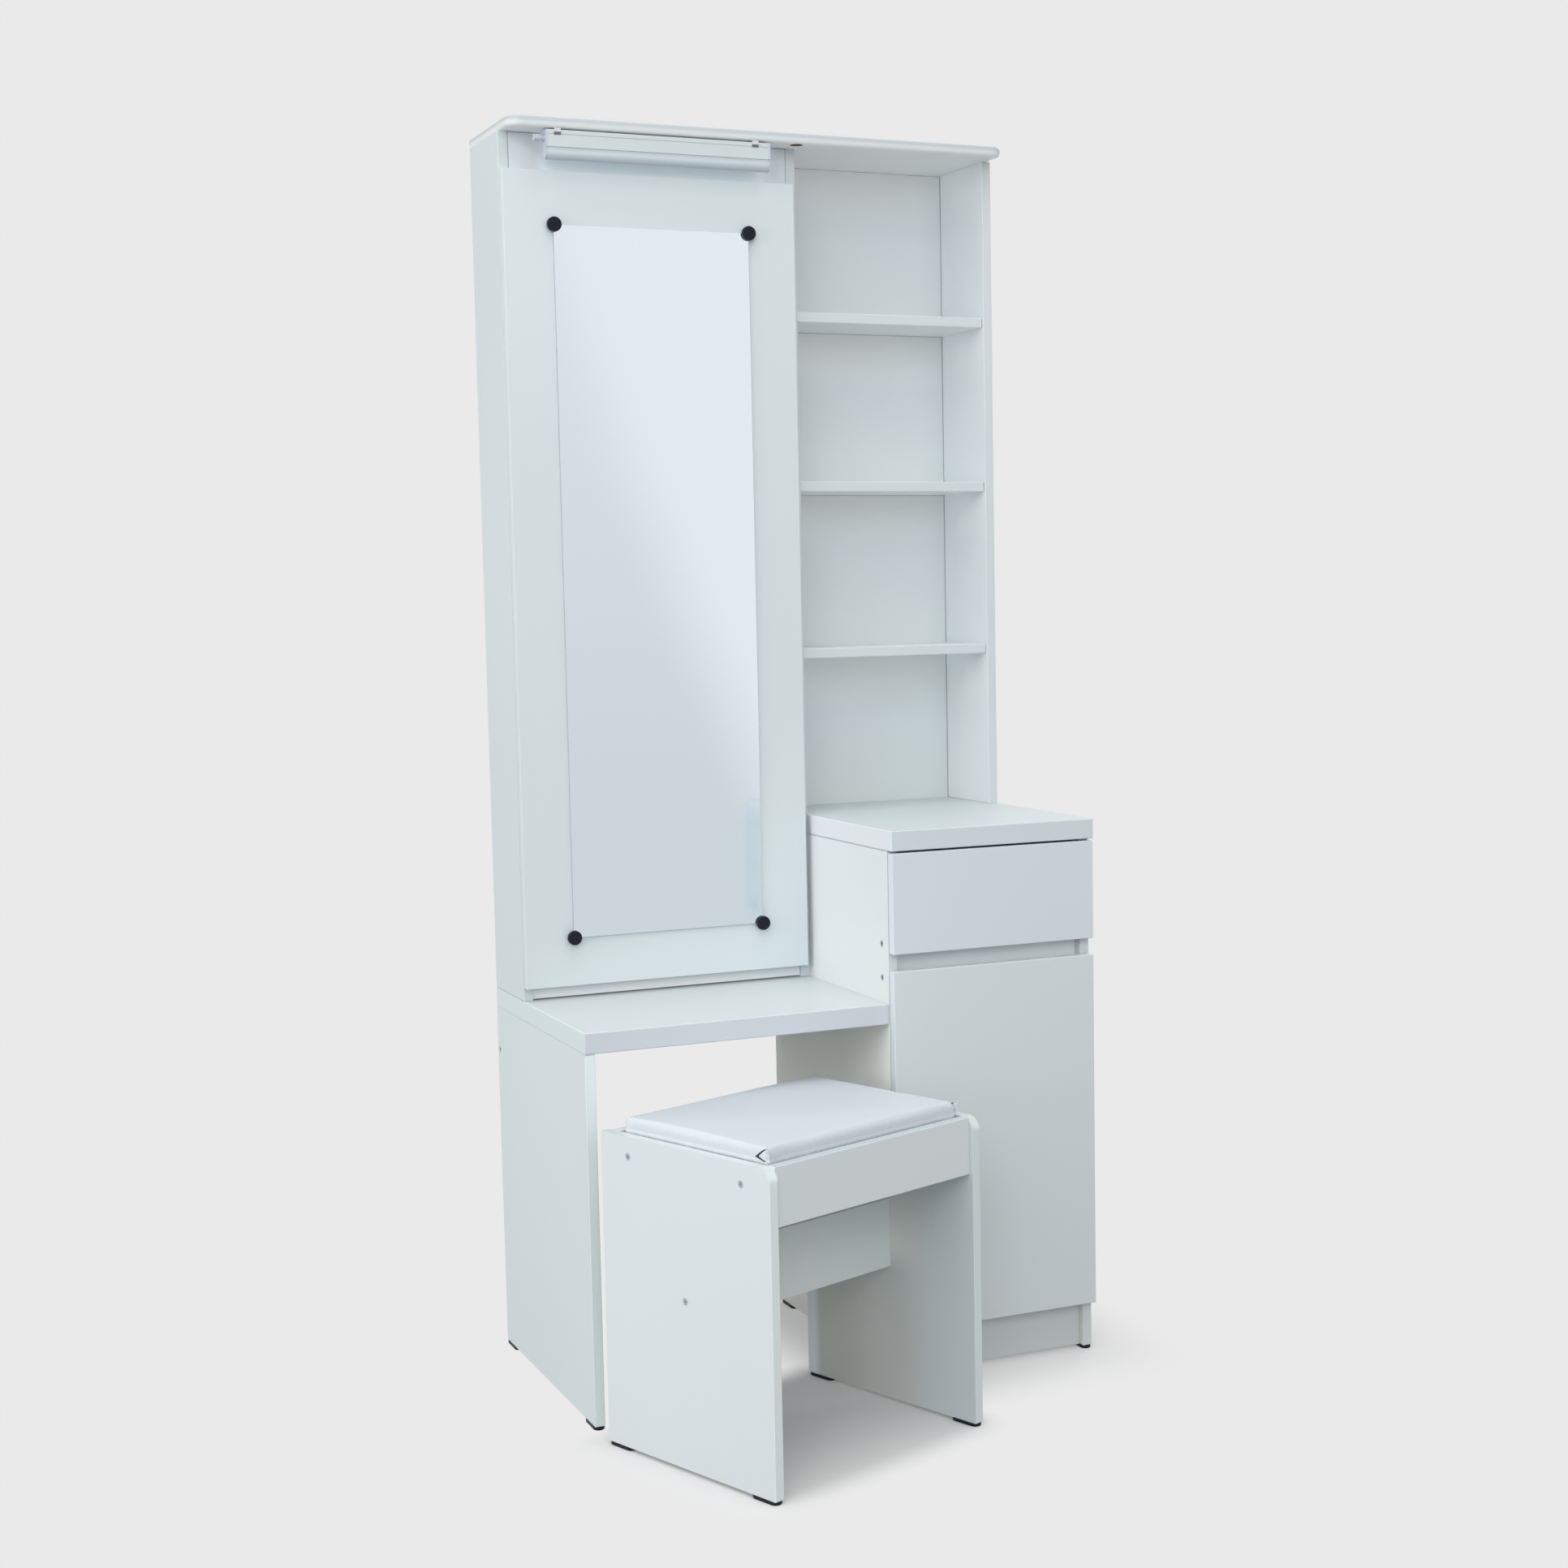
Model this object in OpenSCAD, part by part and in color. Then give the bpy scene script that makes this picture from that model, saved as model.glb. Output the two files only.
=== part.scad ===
// Dressing table: a low desk beside a drawer cabinet, under a tall hutch with
// a mirror door, open shelves and a lamp, and a stool with a padded seat.
// X runs to the right, Y to the back and Z up. The origin is on the floor,
// in the middle of the space that the unit and its stool stand in.

/* [Whole unit] */
// Width across the side panels
unit_w = 800; // [740:10:900]
// Height from the floor to the top of the top panel
unit_h = 1850; // [1780:10:1950]
// Thickness of panels, shelves, doors and fronts
board_t = 15; // [13:0.5:18]
// Thickness of the hardboard backs and the drawer bottom
back_t = 3; // [2.5:0.5:4]
// Radius that eases the edges of the boards
edge_r = 1; // [0.6:0.1:1.5]

/* [Desk] */
// Width of the desk top, from the unit's left side to the cabinet
desk_w = 465; // [440:5:500]
// Depth of the desk top, the leg panel and the cabinet sides
lower_d = 440; // [410:10:480]
// Height of the desk top's upper face
desk_h = 565; // [545:5:600]
// Thickness of the desk top and the cabinet top
slab_t = 30; // [26:1:34]
// Height of the rail at the back, under the desk top
desk_rail_h = 85; // [75:5:95]

/* [Cabinet] */
// Height of the cabinet top's upper face
cabinet_h = 820; // [800:5:850]
// Height of the cabinet's lowest board above the floor
cabinet_low = 76; // [70:1:90]
// How far the plinth stands back from the cabinet sides' front edges
plinth_set = 10; // [6:1:30]
// Height of the drawer front
drawer_front_h = 148; // [140:2:156]
// Gap under the drawer front that fingers reach into
finger_gap = 25; // [22:1:28]
// Height of the rail behind the finger gap
finger_rail_h = 100; // [84:2:108]
// How far the finger rail stands back from the side panels' front edges
finger_rail_set = 14; // [10:1:20]
// Gap between the cabinet top and the drawer front
front_gap = 3; // [2:0.5:5]
// How far doors and fronts stop short of the outer edge that they cover
reveal = 1; // [0.5:0.5:2]
// Gap between a closed door or front and the boards behind it
close_gap = 1.5; // [1.2:0.1:2.5]
// Height of the cabinet's inner shelf above its lowest board
cabinet_shelf_up = 240; // [200:10:280]

/* [Hutch] */
// Depth of the hutch
hutch_d = 150; // [140:5:165]
// How far the top panel reaches out in front of the hutch
top_over = 50; // [44:2:60]
// Radius of the top panel's front corners, seen from above
top_corner_r = 22; // [16:1:30]
// How far the open shelves stand back from the hutch's front edges
open_shelf_set = 4; // [2:1:10]
// Number of shelves behind the mirror door
inner_shelves = 3; // [1:1:4]
// How far the inner shelves stand back from the hutch's front edges
inner_shelf_set = 16; // [14:1:24]
// Gap between the desk top and the hutch's bottom board
bottom_lift = 1.5; // [1:0.5:8]
// Height of the brace at the back of the mirror cabinet
brace_h = 80; // [60:5:100]

/* [Mirror door] */
// Gap between the desk top and the mirror door
mirror_door_lift = 20; // [19:1:24]
// Height of the band above the mirror door that carries the lamp
lamp_band = 55; // [50:1:64]
// How much of the divider's front edge the mirror door leaves bare
divider_bare = 9.5; // [7:0.5:11]
// Distance from the mirror to the door's right edge
mirror_right = 77; // [60:1:84]
// Distance from the mirror to the door's upper edge
mirror_above = 77; // [60:1:84]
// Thickness of the mirror
mirror_t = 4; // [3:0.5:6]
// Height of the mirror's lower edge above the door's lower edge
mirror_up = 73; // [60:1:80]
// Distance from the door's left edge to the mirror
mirror_in = 74; // [60:1:80]
// How far a clip's stem lies outside the mirror's corner, each way
clip_out = 2; // [2:0.25:3]
// How far a clip's cap lies in over the mirror from its stem, each way
clip_shift = 2.25; // [1:0.25:3]
// Diameter of the mirror clips' caps
clip_d = 21.5; // [18:0.5:24]
// Height of the mirror clips' caps
clip_h = 7; // [5:0.5:9]

/* [Lamp] */
// Length of the lamp between its end caps
lamp_l = 341; // [300:1:350]
// Distance from the unit's left side to the lamp
lamp_in = 62; // [50:2:80]
// Depth of the lamp's housing
lamp_d = 23; // [20:1:26]
// Height of the lamp's housing
lamp_h = 24; // [20:1:26]
// How far the diffuser hangs below the housing
diffuser_drop = 17; // [14:1:19]
// Gap between the lamp and the top panel
lamp_gap = 2.5; // [2:0.25:4]
// How far the lamp stands back from the top panel's front edge
lamp_set = 3; // [2:0.5:6]
// Diameter of the cable hole in the top panel
cable_hole_d = 19; // [14:1:20]
// Distance from the unit's left side to the cable hole
cable_hole_in = 454.5; // [430:0.5:470]
// Distance from the top panel's front edge to the cable hole
cable_hole_set = 17.5; // [17.5:0.5:24]

/* [Drawer] */
// Gap between the drawer's sides and the cabinet top
drawer_above = 11.5; // [8:0.5:25]
// Thickness of the drawer's sides and back
drawer_t = 12; // [10:1:14]
// Space left behind the drawer in the cabinet
drawer_behind = 38.5; // [25:0.5:60]
// Space that a runner takes between the cabinet side and the drawer
runner_w = 12.5; // [12:0.5:14]
// Diameter of the runners' rollers
roller_d = 20; // [18:1:21]
// Depth of the groove that holds the drawer bottom
groove_d = 5; // [4:0.5:6]

/* [Stool] */
// Width across the stool's side panels
stool_w = 400; // [360:5:430]
// Depth of the stool's side panels
stool_d = 335; // [300:5:360]
// Height of the stool's side panels above the floor
stool_h = 440; // [410:5:460]
// Radius of the side panels' upper front corners
stool_corner_r = 20; // [10:1:30]
// Height of the stool's front and back rails
stool_rail_h = 80; // [70:5:100]
// How far the rails stand in from the side panels' edges
stool_rail_set = 6; // [3:1:10]
// Depth of the seat board's face below the top of the side panels
seat_drop = 20; // [16:1:26]
// Height of the stretcher
stretcher_h = 100; // [80:5:120]
// Height of the stretcher's lower edge above the floor
stretcher_up = 200; // [170:5:220]
// How far the cushion's edge rises above the side panels
cushion_rise = 19; // [14:1:26]
// How much higher the cushion is in its middle than at its edge
cushion_crown = 5; // [3:0.5:9]
// Clear space round the cushion
cushion_gap = 0.5; // [0.3:0.1:2]
// Distance from the unit's left side to the stool's back left corner
stool_in = 2.5; // [0:0.5:20]
// Distance from the desk's front edge to the stool's back left corner
stool_gap = 53.75; // [45:0.25:100]
// Turn of the stool, seen from above
stool_turn = 21; // [10:1:24]

/* [Fittings] */
// Diameter of the screws' heads
head_d = 10; // [8:0.5:11]
// Diameter of the screws' shanks
shank_d = 5; // [4:0.5:6]
// Length of the screws
screw_l = 48; // [40:1:50]
// Thickness of the plastic glides under the panels
glide_h = 5; // [4:0.5:7]
// Length of the glides
glide_l = 48; // [40:1:60]
// How far the glides stand out past the panels' faces
glide_proud = 1; // [0.5:0.5:1.5]
// Diameter of the hinge cups
hinge_cup_d = 35; // [34:0.5:36]
// Distance from the door's edge to the middle of a hinge cup
hinge_cup_in = 22.5; // [21.5:0.5:24]
// Diameter of the shelf pins
pin_d = 5; // [4:0.5:6]

/* [Hidden] */

$fn = 48;
see = 1;                    // how far a cut reaches past what it cuts
fit = 0.1;                  // clearance round a screw, pin or dowel
run = 0.05;                 // radial clearance of a roller on its axle

melamine = "#e9eeef";
plastic_black = "#20222a";
steel = "#c9ccd0";

// Heights of the main boards
foot = glide_h;
desk_under = desk_h - slab_t;
cabinet_under = cabinet_h - slab_t;
top_under = unit_h - board_t;
fascia_overlap = 15;
fascia_low = top_under - lamp_band - fascia_overlap;
bottom_z = desk_h + bottom_lift;

// Number of open shelves above the cabinet
open_shelves = 3;

// Places across the unit
bay_left = board_t;
divider_x = desk_w - board_t;
cab_left = desk_w + board_t;
cab_right = unit_w - board_t;

// Fronts of the cabinet, with the cabinet top flush over them
front_y = -lower_d - close_gap - board_t;
drawer_front_top = cabinet_under - front_gap;
drawer_front_low = drawer_front_top - drawer_front_h;
door_low = cabinet_low;
door_top = drawer_front_low - finger_gap;
finger_mid = drawer_front_low - finger_gap / 2;
finger_rail_low = finger_mid - finger_rail_h / 2;

// Mirror door
mdoor_x0 = reveal / 2;
mdoor_x1 = desk_w - divider_bare;
mdoor_low = desk_h + mirror_door_lift;
mdoor_top = top_under - lamp_band;
mdoor_y = -hutch_d - close_gap - board_t;
mirror_x0 = mdoor_x0 + mirror_in;
mirror_z0 = mdoor_low + mirror_up;
mirror_w = mdoor_x1 - mirror_right - mirror_x0;
mirror_h = mdoor_top - mirror_above - mirror_z0;
clip_stem_r = 2.3;

// Shelves
open_clear = (top_under - cabinet_h - open_shelves * board_t) / (open_shelves + 1);
function open_z(k) = cabinet_h + k * open_clear + (k - 1) * board_t;
inner_clear = (fascia_low - bottom_z - board_t - inner_shelves * board_t) / (inner_shelves + 1);
function inner_z(k) = bottom_z + board_t + k * inner_clear + (k - 1) * board_t;
brace_shelf = ceil(inner_shelves / 2);
brace_low = inner_z(brace_shelf) + board_t;
cabinet_shelf_z = cabinet_low + board_t + cabinet_shelf_up;
shelf_play = 0.5;
dowel_d = 8;
dowel_l = 24;
dowel_in = 9;
dowel_edge = 35;
pin_ledge = 10;
pin_edge = 30;
cabinet_pin_edge = [70, 60];

// Hinges
hinge_end = 100;
cab_hinge_end = 80;
plate_h = 48;
plate_t = 2;
plate_y = [10, 56];
hinge_above_shelf = brace_h - plate_h / 2 + 4;
hinge_z = [mdoor_low + hinge_end, brace_low + hinge_above_shelf, mdoor_top - hinge_end];
cab_hinge_z = [door_low + cab_hinge_end, door_top - cab_hinge_end];
cup_depth = 11.5;
cup_wall = 0.8;
arm_w = 11;
tip_r = 4;

// Lamp
lamp_y = -hutch_d - top_over + lamp_set;
lamp_top = top_under - lamp_gap;
lamp_low = lamp_top - lamp_h;
lamp_wall = 1.6;
lamp_recess = 5;
lamp_cap_t = 3;
inlet_down = 11;
inlet_neck_d = 8;
inlet_neck_l = 6;
inlet_d = 10.5;
inlet_l = 10;
lamp_clip_at = [14, lamp_l - 21];

// Drawer and runners, in the space between the cabinet sides
drawer_low = finger_rail_low + finger_rail_h + 7;
drawer_d = lower_d + close_gap - back_t - drawer_behind;
drawer_h = cabinet_under - drawer_above - drawer_low;
drawer_x0 = cab_left + runner_w;
drawer_x1 = cab_right - runner_w;
drawer_y0 = front_y + board_t;
sheet = 1.2;
rail_low = drawer_low - 3;
ledge_top = rail_low + sheet;
roller_r = roller_d / 2;
rear_roller_r = roller_r - 0.2;
rear_roller_z = ledge_top + rear_roller_r + fit;
lip_low = ledge_top + roller_d + 0.6;
front_roller_z = lip_low - roller_r - fit;
rail_h = 34;
rail_y0 = -lower_d + 2;
front_roller_y = rail_y0 + 13;
rear_roller_y = drawer_y0 + drawer_d - 15;
roller_t = runner_w - 4.2;
roller_x = cab_left + sheet + 0.8;
axle_r = 2.5;
drawer_bottom_z = drawer_low + 8;

// Stool, in its own frame: x along its width, y from front to back
stool_low = foot;
seat_z = stool_h - seat_drop - board_t;
stretcher_y = (stool_d - board_t) / 2;
stool_rail_y = [stool_rail_set, stool_d - stool_rail_set - board_t];
seat_screw_in = [33, 35.75];
seat_screw_y = [stool_rail_y[0] + board_t + seat_screw_in[0], stool_rail_y[1] - seat_screw_in[1]];
stretcher_screw_up = 0.35 * stretcher_h;
stool_x = stool_in + stool_d * sin(stool_turn);
stool_y = lower_d + stool_gap + stool_d * cos(stool_turn);

// How far the whole reaches from the unit's back to the stool's front corner
reach = stool_y - edge_r * (sin(stool_turn) + cos(stool_turn) - 1);

// Everything is laid out with the unit's left side at x = 0 and its back at
// y = 0, and this puts it about the origin.
module placed() {
    translate([-unit_w / 2, reach / 2, 0]) children();
}

module rounded(w, h, r) {
    translate([r, 0]) square([w - 2 * r, h]);
    translate([0, r]) square([w, h - 2 * r]);
    for (x = [r, w - r], y = [r, h - r]) translate([x, y]) circle(r, $fn = 24);
}

// A board with all its edges eased, from corner to corner
module board(low, high, r = edge_r) {
    w = high[0] - low[0];
    d = high[1] - low[1];
    h = high[2] - low[2];
    translate(low) intersection() {
        linear_extrude(h) rounded(w, d, r);
        translate([0, d, 0]) rotate([90, 0, 0]) linear_extrude(d) rounded(w, h, r);
        rotate([90, 0, 90]) linear_extrude(w) rounded(d, h, r);
    }
}

// A plain sheet or strip with sharp edges
module strip(low, high) {
    translate(low) cube([high[0] - low[0], high[1] - low[1], high[2] - low[2]]);
}

// Screws. Each place is [x, y, z, way]: the middle of the head's face, and the
// way along X that the screw runs, 1 or -1.
module screw() {
    difference() {
        rotate([0, 90, 0]) cylinder(d = head_d, h = 2);
        translate([-see, 0, 0]) rotate([0, 90, 0]) cylinder(d = 4.6, h = see + 1.4, $fn = 6);
    }
    translate([2, 0, 0]) rotate([0, 90, 0]) cylinder(d = shank_d, h = screw_l - 4);
    translate([screw_l - 2, 0, 0]) rotate([0, 90, 0]) cylinder(r1 = shank_d / 2, r2 = 1, h = 2);
}

module screw_bore() {
    translate([-see, 0, 0]) rotate([0, 90, 0]) cylinder(r = head_d / 2 + fit, h = see + 2);
    rotate([0, 90, 0]) cylinder(r = shank_d / 2 + fit, h = screw_l + 1);
}

module at_screws(places) {
    for (p = places) translate([p[0], p[1], p[2]]) scale([p[3], 1, 1]) children();
}

screw_sink = 0.3;
finger_screw_off = finger_rail_h / 4;
rail_screw_up = 19;
function pair_of_screws(x0, x1, y, z) = [[x0 + screw_sink, y, z, 1], [x1 - screw_sink, y, z, -1]];
finger_screw_y = -lower_d + finger_rail_set + board_t / 2;
finger_screws = concat(
    pair_of_screws(desk_w, unit_w, finger_screw_y, finger_mid + finger_screw_off),
    pair_of_screws(desk_w, unit_w, finger_screw_y, finger_mid - finger_screw_off));
desk_rail_z = desk_under - desk_rail_h;
desk_rail_screws = pair_of_screws(0, cab_left, -back_t - board_t / 2, desk_rail_z + rail_screw_up);
brace_screws = [[desk_w - screw_sink, -back_t - board_t / 2, brace_low + brace_h / 2, -1]];
stool_screw_places = concat(
    pair_of_screws(0, stool_w, seat_screw_y[0], seat_z + board_t / 2),
    pair_of_screws(0, stool_w, seat_screw_y[1], seat_z + board_t / 2),
    pair_of_screws(0, stool_w, stretcher_y + board_t / 2, stretcher_up + stretcher_screw_up));

// Dowels between the open shelves and the boards beside them
dowel_y = [-hutch_d + dowel_edge, -back_t - dowel_edge];
module at_dowels() {
    for (k = [1:open_shelves], y = dowel_y) {
        translate([desk_w - dowel_in, y, open_z(k) + board_t / 2]) rotate([0, 90, 0]) children();
        translate([cab_right + dowel_in, y, open_z(k) + board_t / 2])
            rotate([0, -90, 0]) children();
    }
}

module dowel_bores() {
    at_dowels() translate([0, 0, -0.5]) cylinder(r = dowel_d / 2 + fit, h = dowel_l + 1);
}

// Pins that carry the loose shelves. Each place is [x, y, z, way], on the face
// of the board that the pin is pushed into.
inner_pins = [for (k = [1:inner_shelves], y = [-hutch_d + pin_edge, -back_t - pin_edge - 15],
    side = [0, 1]) [side == 0 ? bay_left : divider_x, y, inner_z(k), side == 0 ? 1 : -1]];
cabinet_pin_y = [-lower_d + cabinet_pin_edge[0], -back_t - cabinet_pin_edge[1]];
cabinet_pins = [for (y = cabinet_pin_y, side = [0, 1])
    [side == 0 ? cab_left : cab_right, y, cabinet_shelf_z, side == 0 ? 1 : -1]];

module shelf_pin() {
    collar_r = pin_d / 2 + 1.5;
    translate([-pin_ledge + 1, 0, -collar_r]) rotate([0, 90, 0]) cylinder(d = pin_d, h = pin_ledge);
    translate([0, 0, -collar_r]) rotate([0, 90, 0]) cylinder(r = collar_r, h = 1.5);
    translate([1, -3, -2]) cube([7, 6, 2]);
    translate([1, 1, 0]) rotate([90, 0, 0]) linear_extrude(2)
        polygon([[0, -collar_r - 1], [0, -1], [6, -1], [6, -2]]);
}

module pin_bore() {
    translate([-pin_ledge, 0, -pin_d / 2 - 1.5]) rotate([0, 90, 0])
        cylinder(r = pin_d / 2 + fit, h = pin_ledge + see);
}

// Hutch
module top_nose(w) {
    circle(board_t / 2);
    translate([0, -board_t / 2]) square([w, board_t]);
}

module top_panel() color(melamine) placed() {
    d = hutch_d + top_over;
    nose = board_t / 2;
    r = top_corner_r;
    difference() {
        translate([0, 0, top_under + nose]) union() {
            translate([r, 0, 0]) rotate([90, 0, 90]) linear_extrude(unit_w - 2 * r)
                translate([-d + nose, 0]) top_nose(d - nose);
            for (side = [0, 1]) translate([side * unit_w, 0, 0]) mirror([side, 0, 0]) {
                rotate([90, 0, 0]) linear_extrude(d - r) translate([nose, 0]) top_nose(r - nose);
                translate([r, -d + r, 0]) rotate([0, 0, 180]) rotate_extrude(angle = 90)
                    intersection() {
                        translate([r - nose, 0]) mirror([1, 0]) top_nose(r - nose);
                        translate([0, -nose]) square([r, board_t]);
                    }
            }
        }
        translate([cable_hole_in, -d + cable_hole_set, top_under - see])
            cylinder(d = cable_hole_d, h = board_t + 2 * see);
    }
}

module hutch_side_left() color(melamine) placed() difference() {
    board([0, -hutch_d, desk_h], [board_t, -back_t, top_under]);
    at_screws([for (p = inner_pins) if (p[3] == 1) p]) pin_bore();
}

module hutch_divider() color(melamine) placed() difference() {
    board([divider_x, -hutch_d, desk_h], [desk_w, -back_t, top_under]);
    at_screws(brace_screws) screw_bore();
    at_screws([for (p = inner_pins) if (p[3] == -1) p]) pin_bore();
    dowel_bores();
}

module hutch_side_right() color(melamine) placed() difference() {
    board([cab_right, -hutch_d, cabinet_h], [unit_w, -back_t, top_under]);
    dowel_bores();
}

module hutch_bottom() color(melamine) placed()
    board([bay_left, -hutch_d + 6, bottom_z], [divider_x, -back_t, bottom_z + board_t]);

module lamp_fascia() color(melamine) placed()
    board([bay_left, -hutch_d, fascia_low], [divider_x, -hutch_d + board_t, top_under]);

module hutch_back_left() color(melamine) placed()
    strip([reveal, -back_t, desk_h], [desk_w - board_t / 2 - reveal / 2, 0, top_under]);

module hutch_back_right() color(melamine) placed()
    strip([desk_w - board_t / 2 + reveal / 2, -back_t, cabinet_h], [unit_w - reveal, 0, top_under]);

module hutch_brace() color(melamine) placed() difference() {
    board([bay_left, -back_t - board_t, brace_low], [divider_x, -back_t, brace_low + brace_h]);
    at_screws(brace_screws) screw_bore();
}

module open_shelf(k) color(melamine) placed() difference() {
    board([desk_w, -hutch_d + open_shelf_set, open_z(k)], [cab_right, -back_t, open_z(k) + board_t]);
    dowel_bores();
}

module inner_shelf_boards() color(melamine) placed() for (k = [1:inner_shelves])
    board([bay_left + shelf_play, -hutch_d + inner_shelf_set, inner_z(k)],
        [divider_x - shelf_play, -back_t, inner_z(k) + board_t]);

// Desk
module desk_top() color(melamine) placed()
    board([0, -lower_d, desk_under], [desk_w, 0, desk_h], 1.5 * edge_r);

module leg_panel() color(melamine) placed() difference() {
    board([0, -lower_d, foot], [board_t, 0, desk_under]);
    at_screws(desk_rail_screws) screw_bore();
}

module desk_back_rail() color(melamine) placed() difference() {
    board([bay_left, -back_t - board_t, desk_rail_z], [desk_w, -back_t, desk_under]);
    at_screws(desk_rail_screws) screw_bore();
}

// Cabinet
module cabinet_side_left() color(melamine) placed() difference() {
    board([desk_w, -lower_d, foot], [cab_left, -back_t, cabinet_under]);
    at_screws(finger_screws) screw_bore();
    at_screws(desk_rail_screws) screw_bore();
    at_screws([for (p = cabinet_pins) if (p[3] == 1) p]) pin_bore();
}

module cabinet_side_right() color(melamine) placed() difference() {
    board([cab_right, -lower_d, foot], [unit_w, -back_t, cabinet_under]);
    at_screws(finger_screws) screw_bore();
    at_screws([for (p = cabinet_pins) if (p[3] == -1) p]) pin_bore();
}

module cabinet_top() color(melamine) placed()
    board([desk_w, front_y, cabinet_under], [unit_w, 0, cabinet_h], 1.5 * edge_r);

module cabinet_bottom() color(melamine) placed()
    board([cab_left, -lower_d, cabinet_low], [cab_right, -back_t, cabinet_low + board_t]);

module plinth() color(melamine) placed()
    board([cab_left, -lower_d + plinth_set, foot], [cab_right, -lower_d + plinth_set + board_t, cabinet_low]);

module finger_rail() color(melamine) placed() difference() {
    board([cab_left, -lower_d + finger_rail_set, finger_rail_low],
        [cab_right, -lower_d + finger_rail_set + board_t, finger_rail_low + finger_rail_h]);
    at_screws(finger_screws) screw_bore();
}

module cabinet_shelf() color(melamine) placed()
    board([cab_left + shelf_play, -lower_d + 30, cabinet_shelf_z],
        [cab_right - shelf_play, -back_t - shelf_play, cabinet_shelf_z + board_t]);

module cabinet_back() color(melamine) placed()
    strip([desk_w + reveal, -back_t, cabinet_low], [unit_w - reveal, 0, cabinet_under]);

// Fittings of the unit
module shelf_pins() color(steel) placed() at_screws(concat(inner_pins, cabinet_pins)) shelf_pin();

module shelf_dowels() color("burlywood") placed() at_dowels() cylinder(d = dowel_d, h = dowel_l);

module unit_screws() color(steel) placed()
    at_screws(concat(finger_screws, desk_rail_screws, brace_screws)) screw();

// A glide under a panel's end. It starts at the panel's edge and runs along +Y.
module glide() {
    r = board_t / 2 + glide_proud;
    rise = 1.2;
    translate([board_t / 2, 0, 0]) union() {
        for (step = [[0, rise, 1], [rise, foot, 0]]) translate([0, 0, step[0]]) {
            linear_extrude(step[1] - step[0]) union() {
                translate([-r + step[2], r]) square([2 * (r - step[2]), glide_l - 2 * r]);
                for (y = [r, glide_l - r]) translate([0, y]) circle(r - step[2]);
            }
        }
    }
}

// The glides of one panel, whose front edge is at y0 and back edge at y1
module glide_pair(y0, y1) {
    translate([0, y0 - glide_proud, 0]) glide();
    translate([0, y1 - glide_l, 0]) glide();
}

module unit_glides() color(plastic_black) placed() {
    glide_pair(-lower_d, 0);
    for (x = [desk_w, cab_right]) translate([x, 0, 0]) glide_pair(-lower_d, -back_t);
}

// A runner rail on the cabinet's left side, with the axle of its roller
module runner_rail() {
    strip([cab_left, rail_y0, rail_low], [cab_left + sheet, rail_y0 + drawer_d, rail_low + rail_h]);
    strip([cab_left, rail_y0, rail_low], [cab_left + runner_w - 2, rail_y0 + drawer_d, ledge_top]);
    strip([cab_left, rail_y0, rail_low + rail_h - sheet], [cab_left + 6, rail_y0 + drawer_d, rail_low + rail_h]);
    translate([cab_left, front_roller_y, front_roller_z]) rotate([0, 90, 0])
        cylinder(r = axle_r, h = runner_w - 2);
}

module both_sides() {
    children();
    translate([cab_left + cab_right, 0, 0]) mirror([1, 0, 0]) children();
}

module runner_rails() color(steel) placed() both_sides() runner_rail();

module roller(r) rotate([0, 90, 0]) rotate_extrude() difference() {
    translate([axle_r + run, 0]) square([r - axle_r - run, roller_t]);
    translate([axle_r + 2, -see]) square([r - axle_r - 4, see + 1.2]);
    translate([axle_r + 2, roller_t - 1.2]) square([r - axle_r - 4, see + 1.2]);
}

module front_rollers() color("white") placed() both_sides()
    translate([roller_x, front_roller_y, front_roller_z]) roller(roller_r);

module rear_rollers() color("white") placed() both_sides()
    translate([roller_x, rear_roller_y, rear_roller_z]) roller(rear_roller_r);

// Hinges. Both parts are drawn for a door that covers the edge of a board whose
// inner face is at x = 0, with its front edge at y = 0 and the door in front.
module hinge_arm() {
    tip = [board_t - 5, -close_gap - 5.5];
    translate([0, plate_y[0], -plate_h / 2]) cube([plate_t, plate_y[1] - plate_y[0], plate_h]);
    translate([0, 0, -arm_w / 2]) linear_extrude(arm_w) {
        polygon([[plate_t, plate_y[1]], [plate_t, plate_t], [5, -close_gap],
            [tip[0] - tip_r, tip[1]], [tip[0] + tip_r, tip[1]], [tip[0] + tip_r, 0],
            [arm_w, arm_w + 1], [arm_w, plate_y[1] - tip_r], [arm_w - 3, plate_y[1]]]);
        translate(tip) circle(tip_r);
    }
}

module hinge_cup(edge) {
    r = hinge_cup_d / 2;
    translate([hinge_cup_in - edge, -close_gap, 0]) rotate([90, 0, 0]) difference() {
        union() {
            translate([0, 0, -cup_wall]) cylinder(r = r, h = cup_depth + cup_wall);
            translate([-6, -26, -cup_wall]) cube([12, 52, cup_wall]);
        }
        translate([0, 0, -cup_wall - see]) cylinder(r = r - cup_wall, h = cup_depth + see);
    }
}

module cup_bore(edge) {
    translate([hinge_cup_in - edge, -close_gap + see, 0]) rotate([90, 0, 0])
        cylinder(r = hinge_cup_d / 2 + fit, h = cup_depth + see);
}

mirror_edge = board_t - mdoor_x0;
cab_edge = board_t - reveal;

module at_mirror_hinges() {
    for (z = hinge_z) translate([bay_left, -hutch_d, z]) children();
}

module at_cabinet_hinges() {
    for (z = cab_hinge_z) translate([cab_right, -lower_d, z]) mirror([1, 0, 0]) children();
}

module mirror_hinge_arms() color(steel) placed() at_mirror_hinges() hinge_arm();
module mirror_hinge_cups() color(steel) placed() at_mirror_hinges() hinge_cup(mirror_edge);
module cabinet_hinge_arms() color(steel) placed() at_cabinet_hinges() hinge_arm();
module cabinet_hinge_cups() color(steel) placed() at_cabinet_hinges() hinge_cup(cab_edge);

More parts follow.
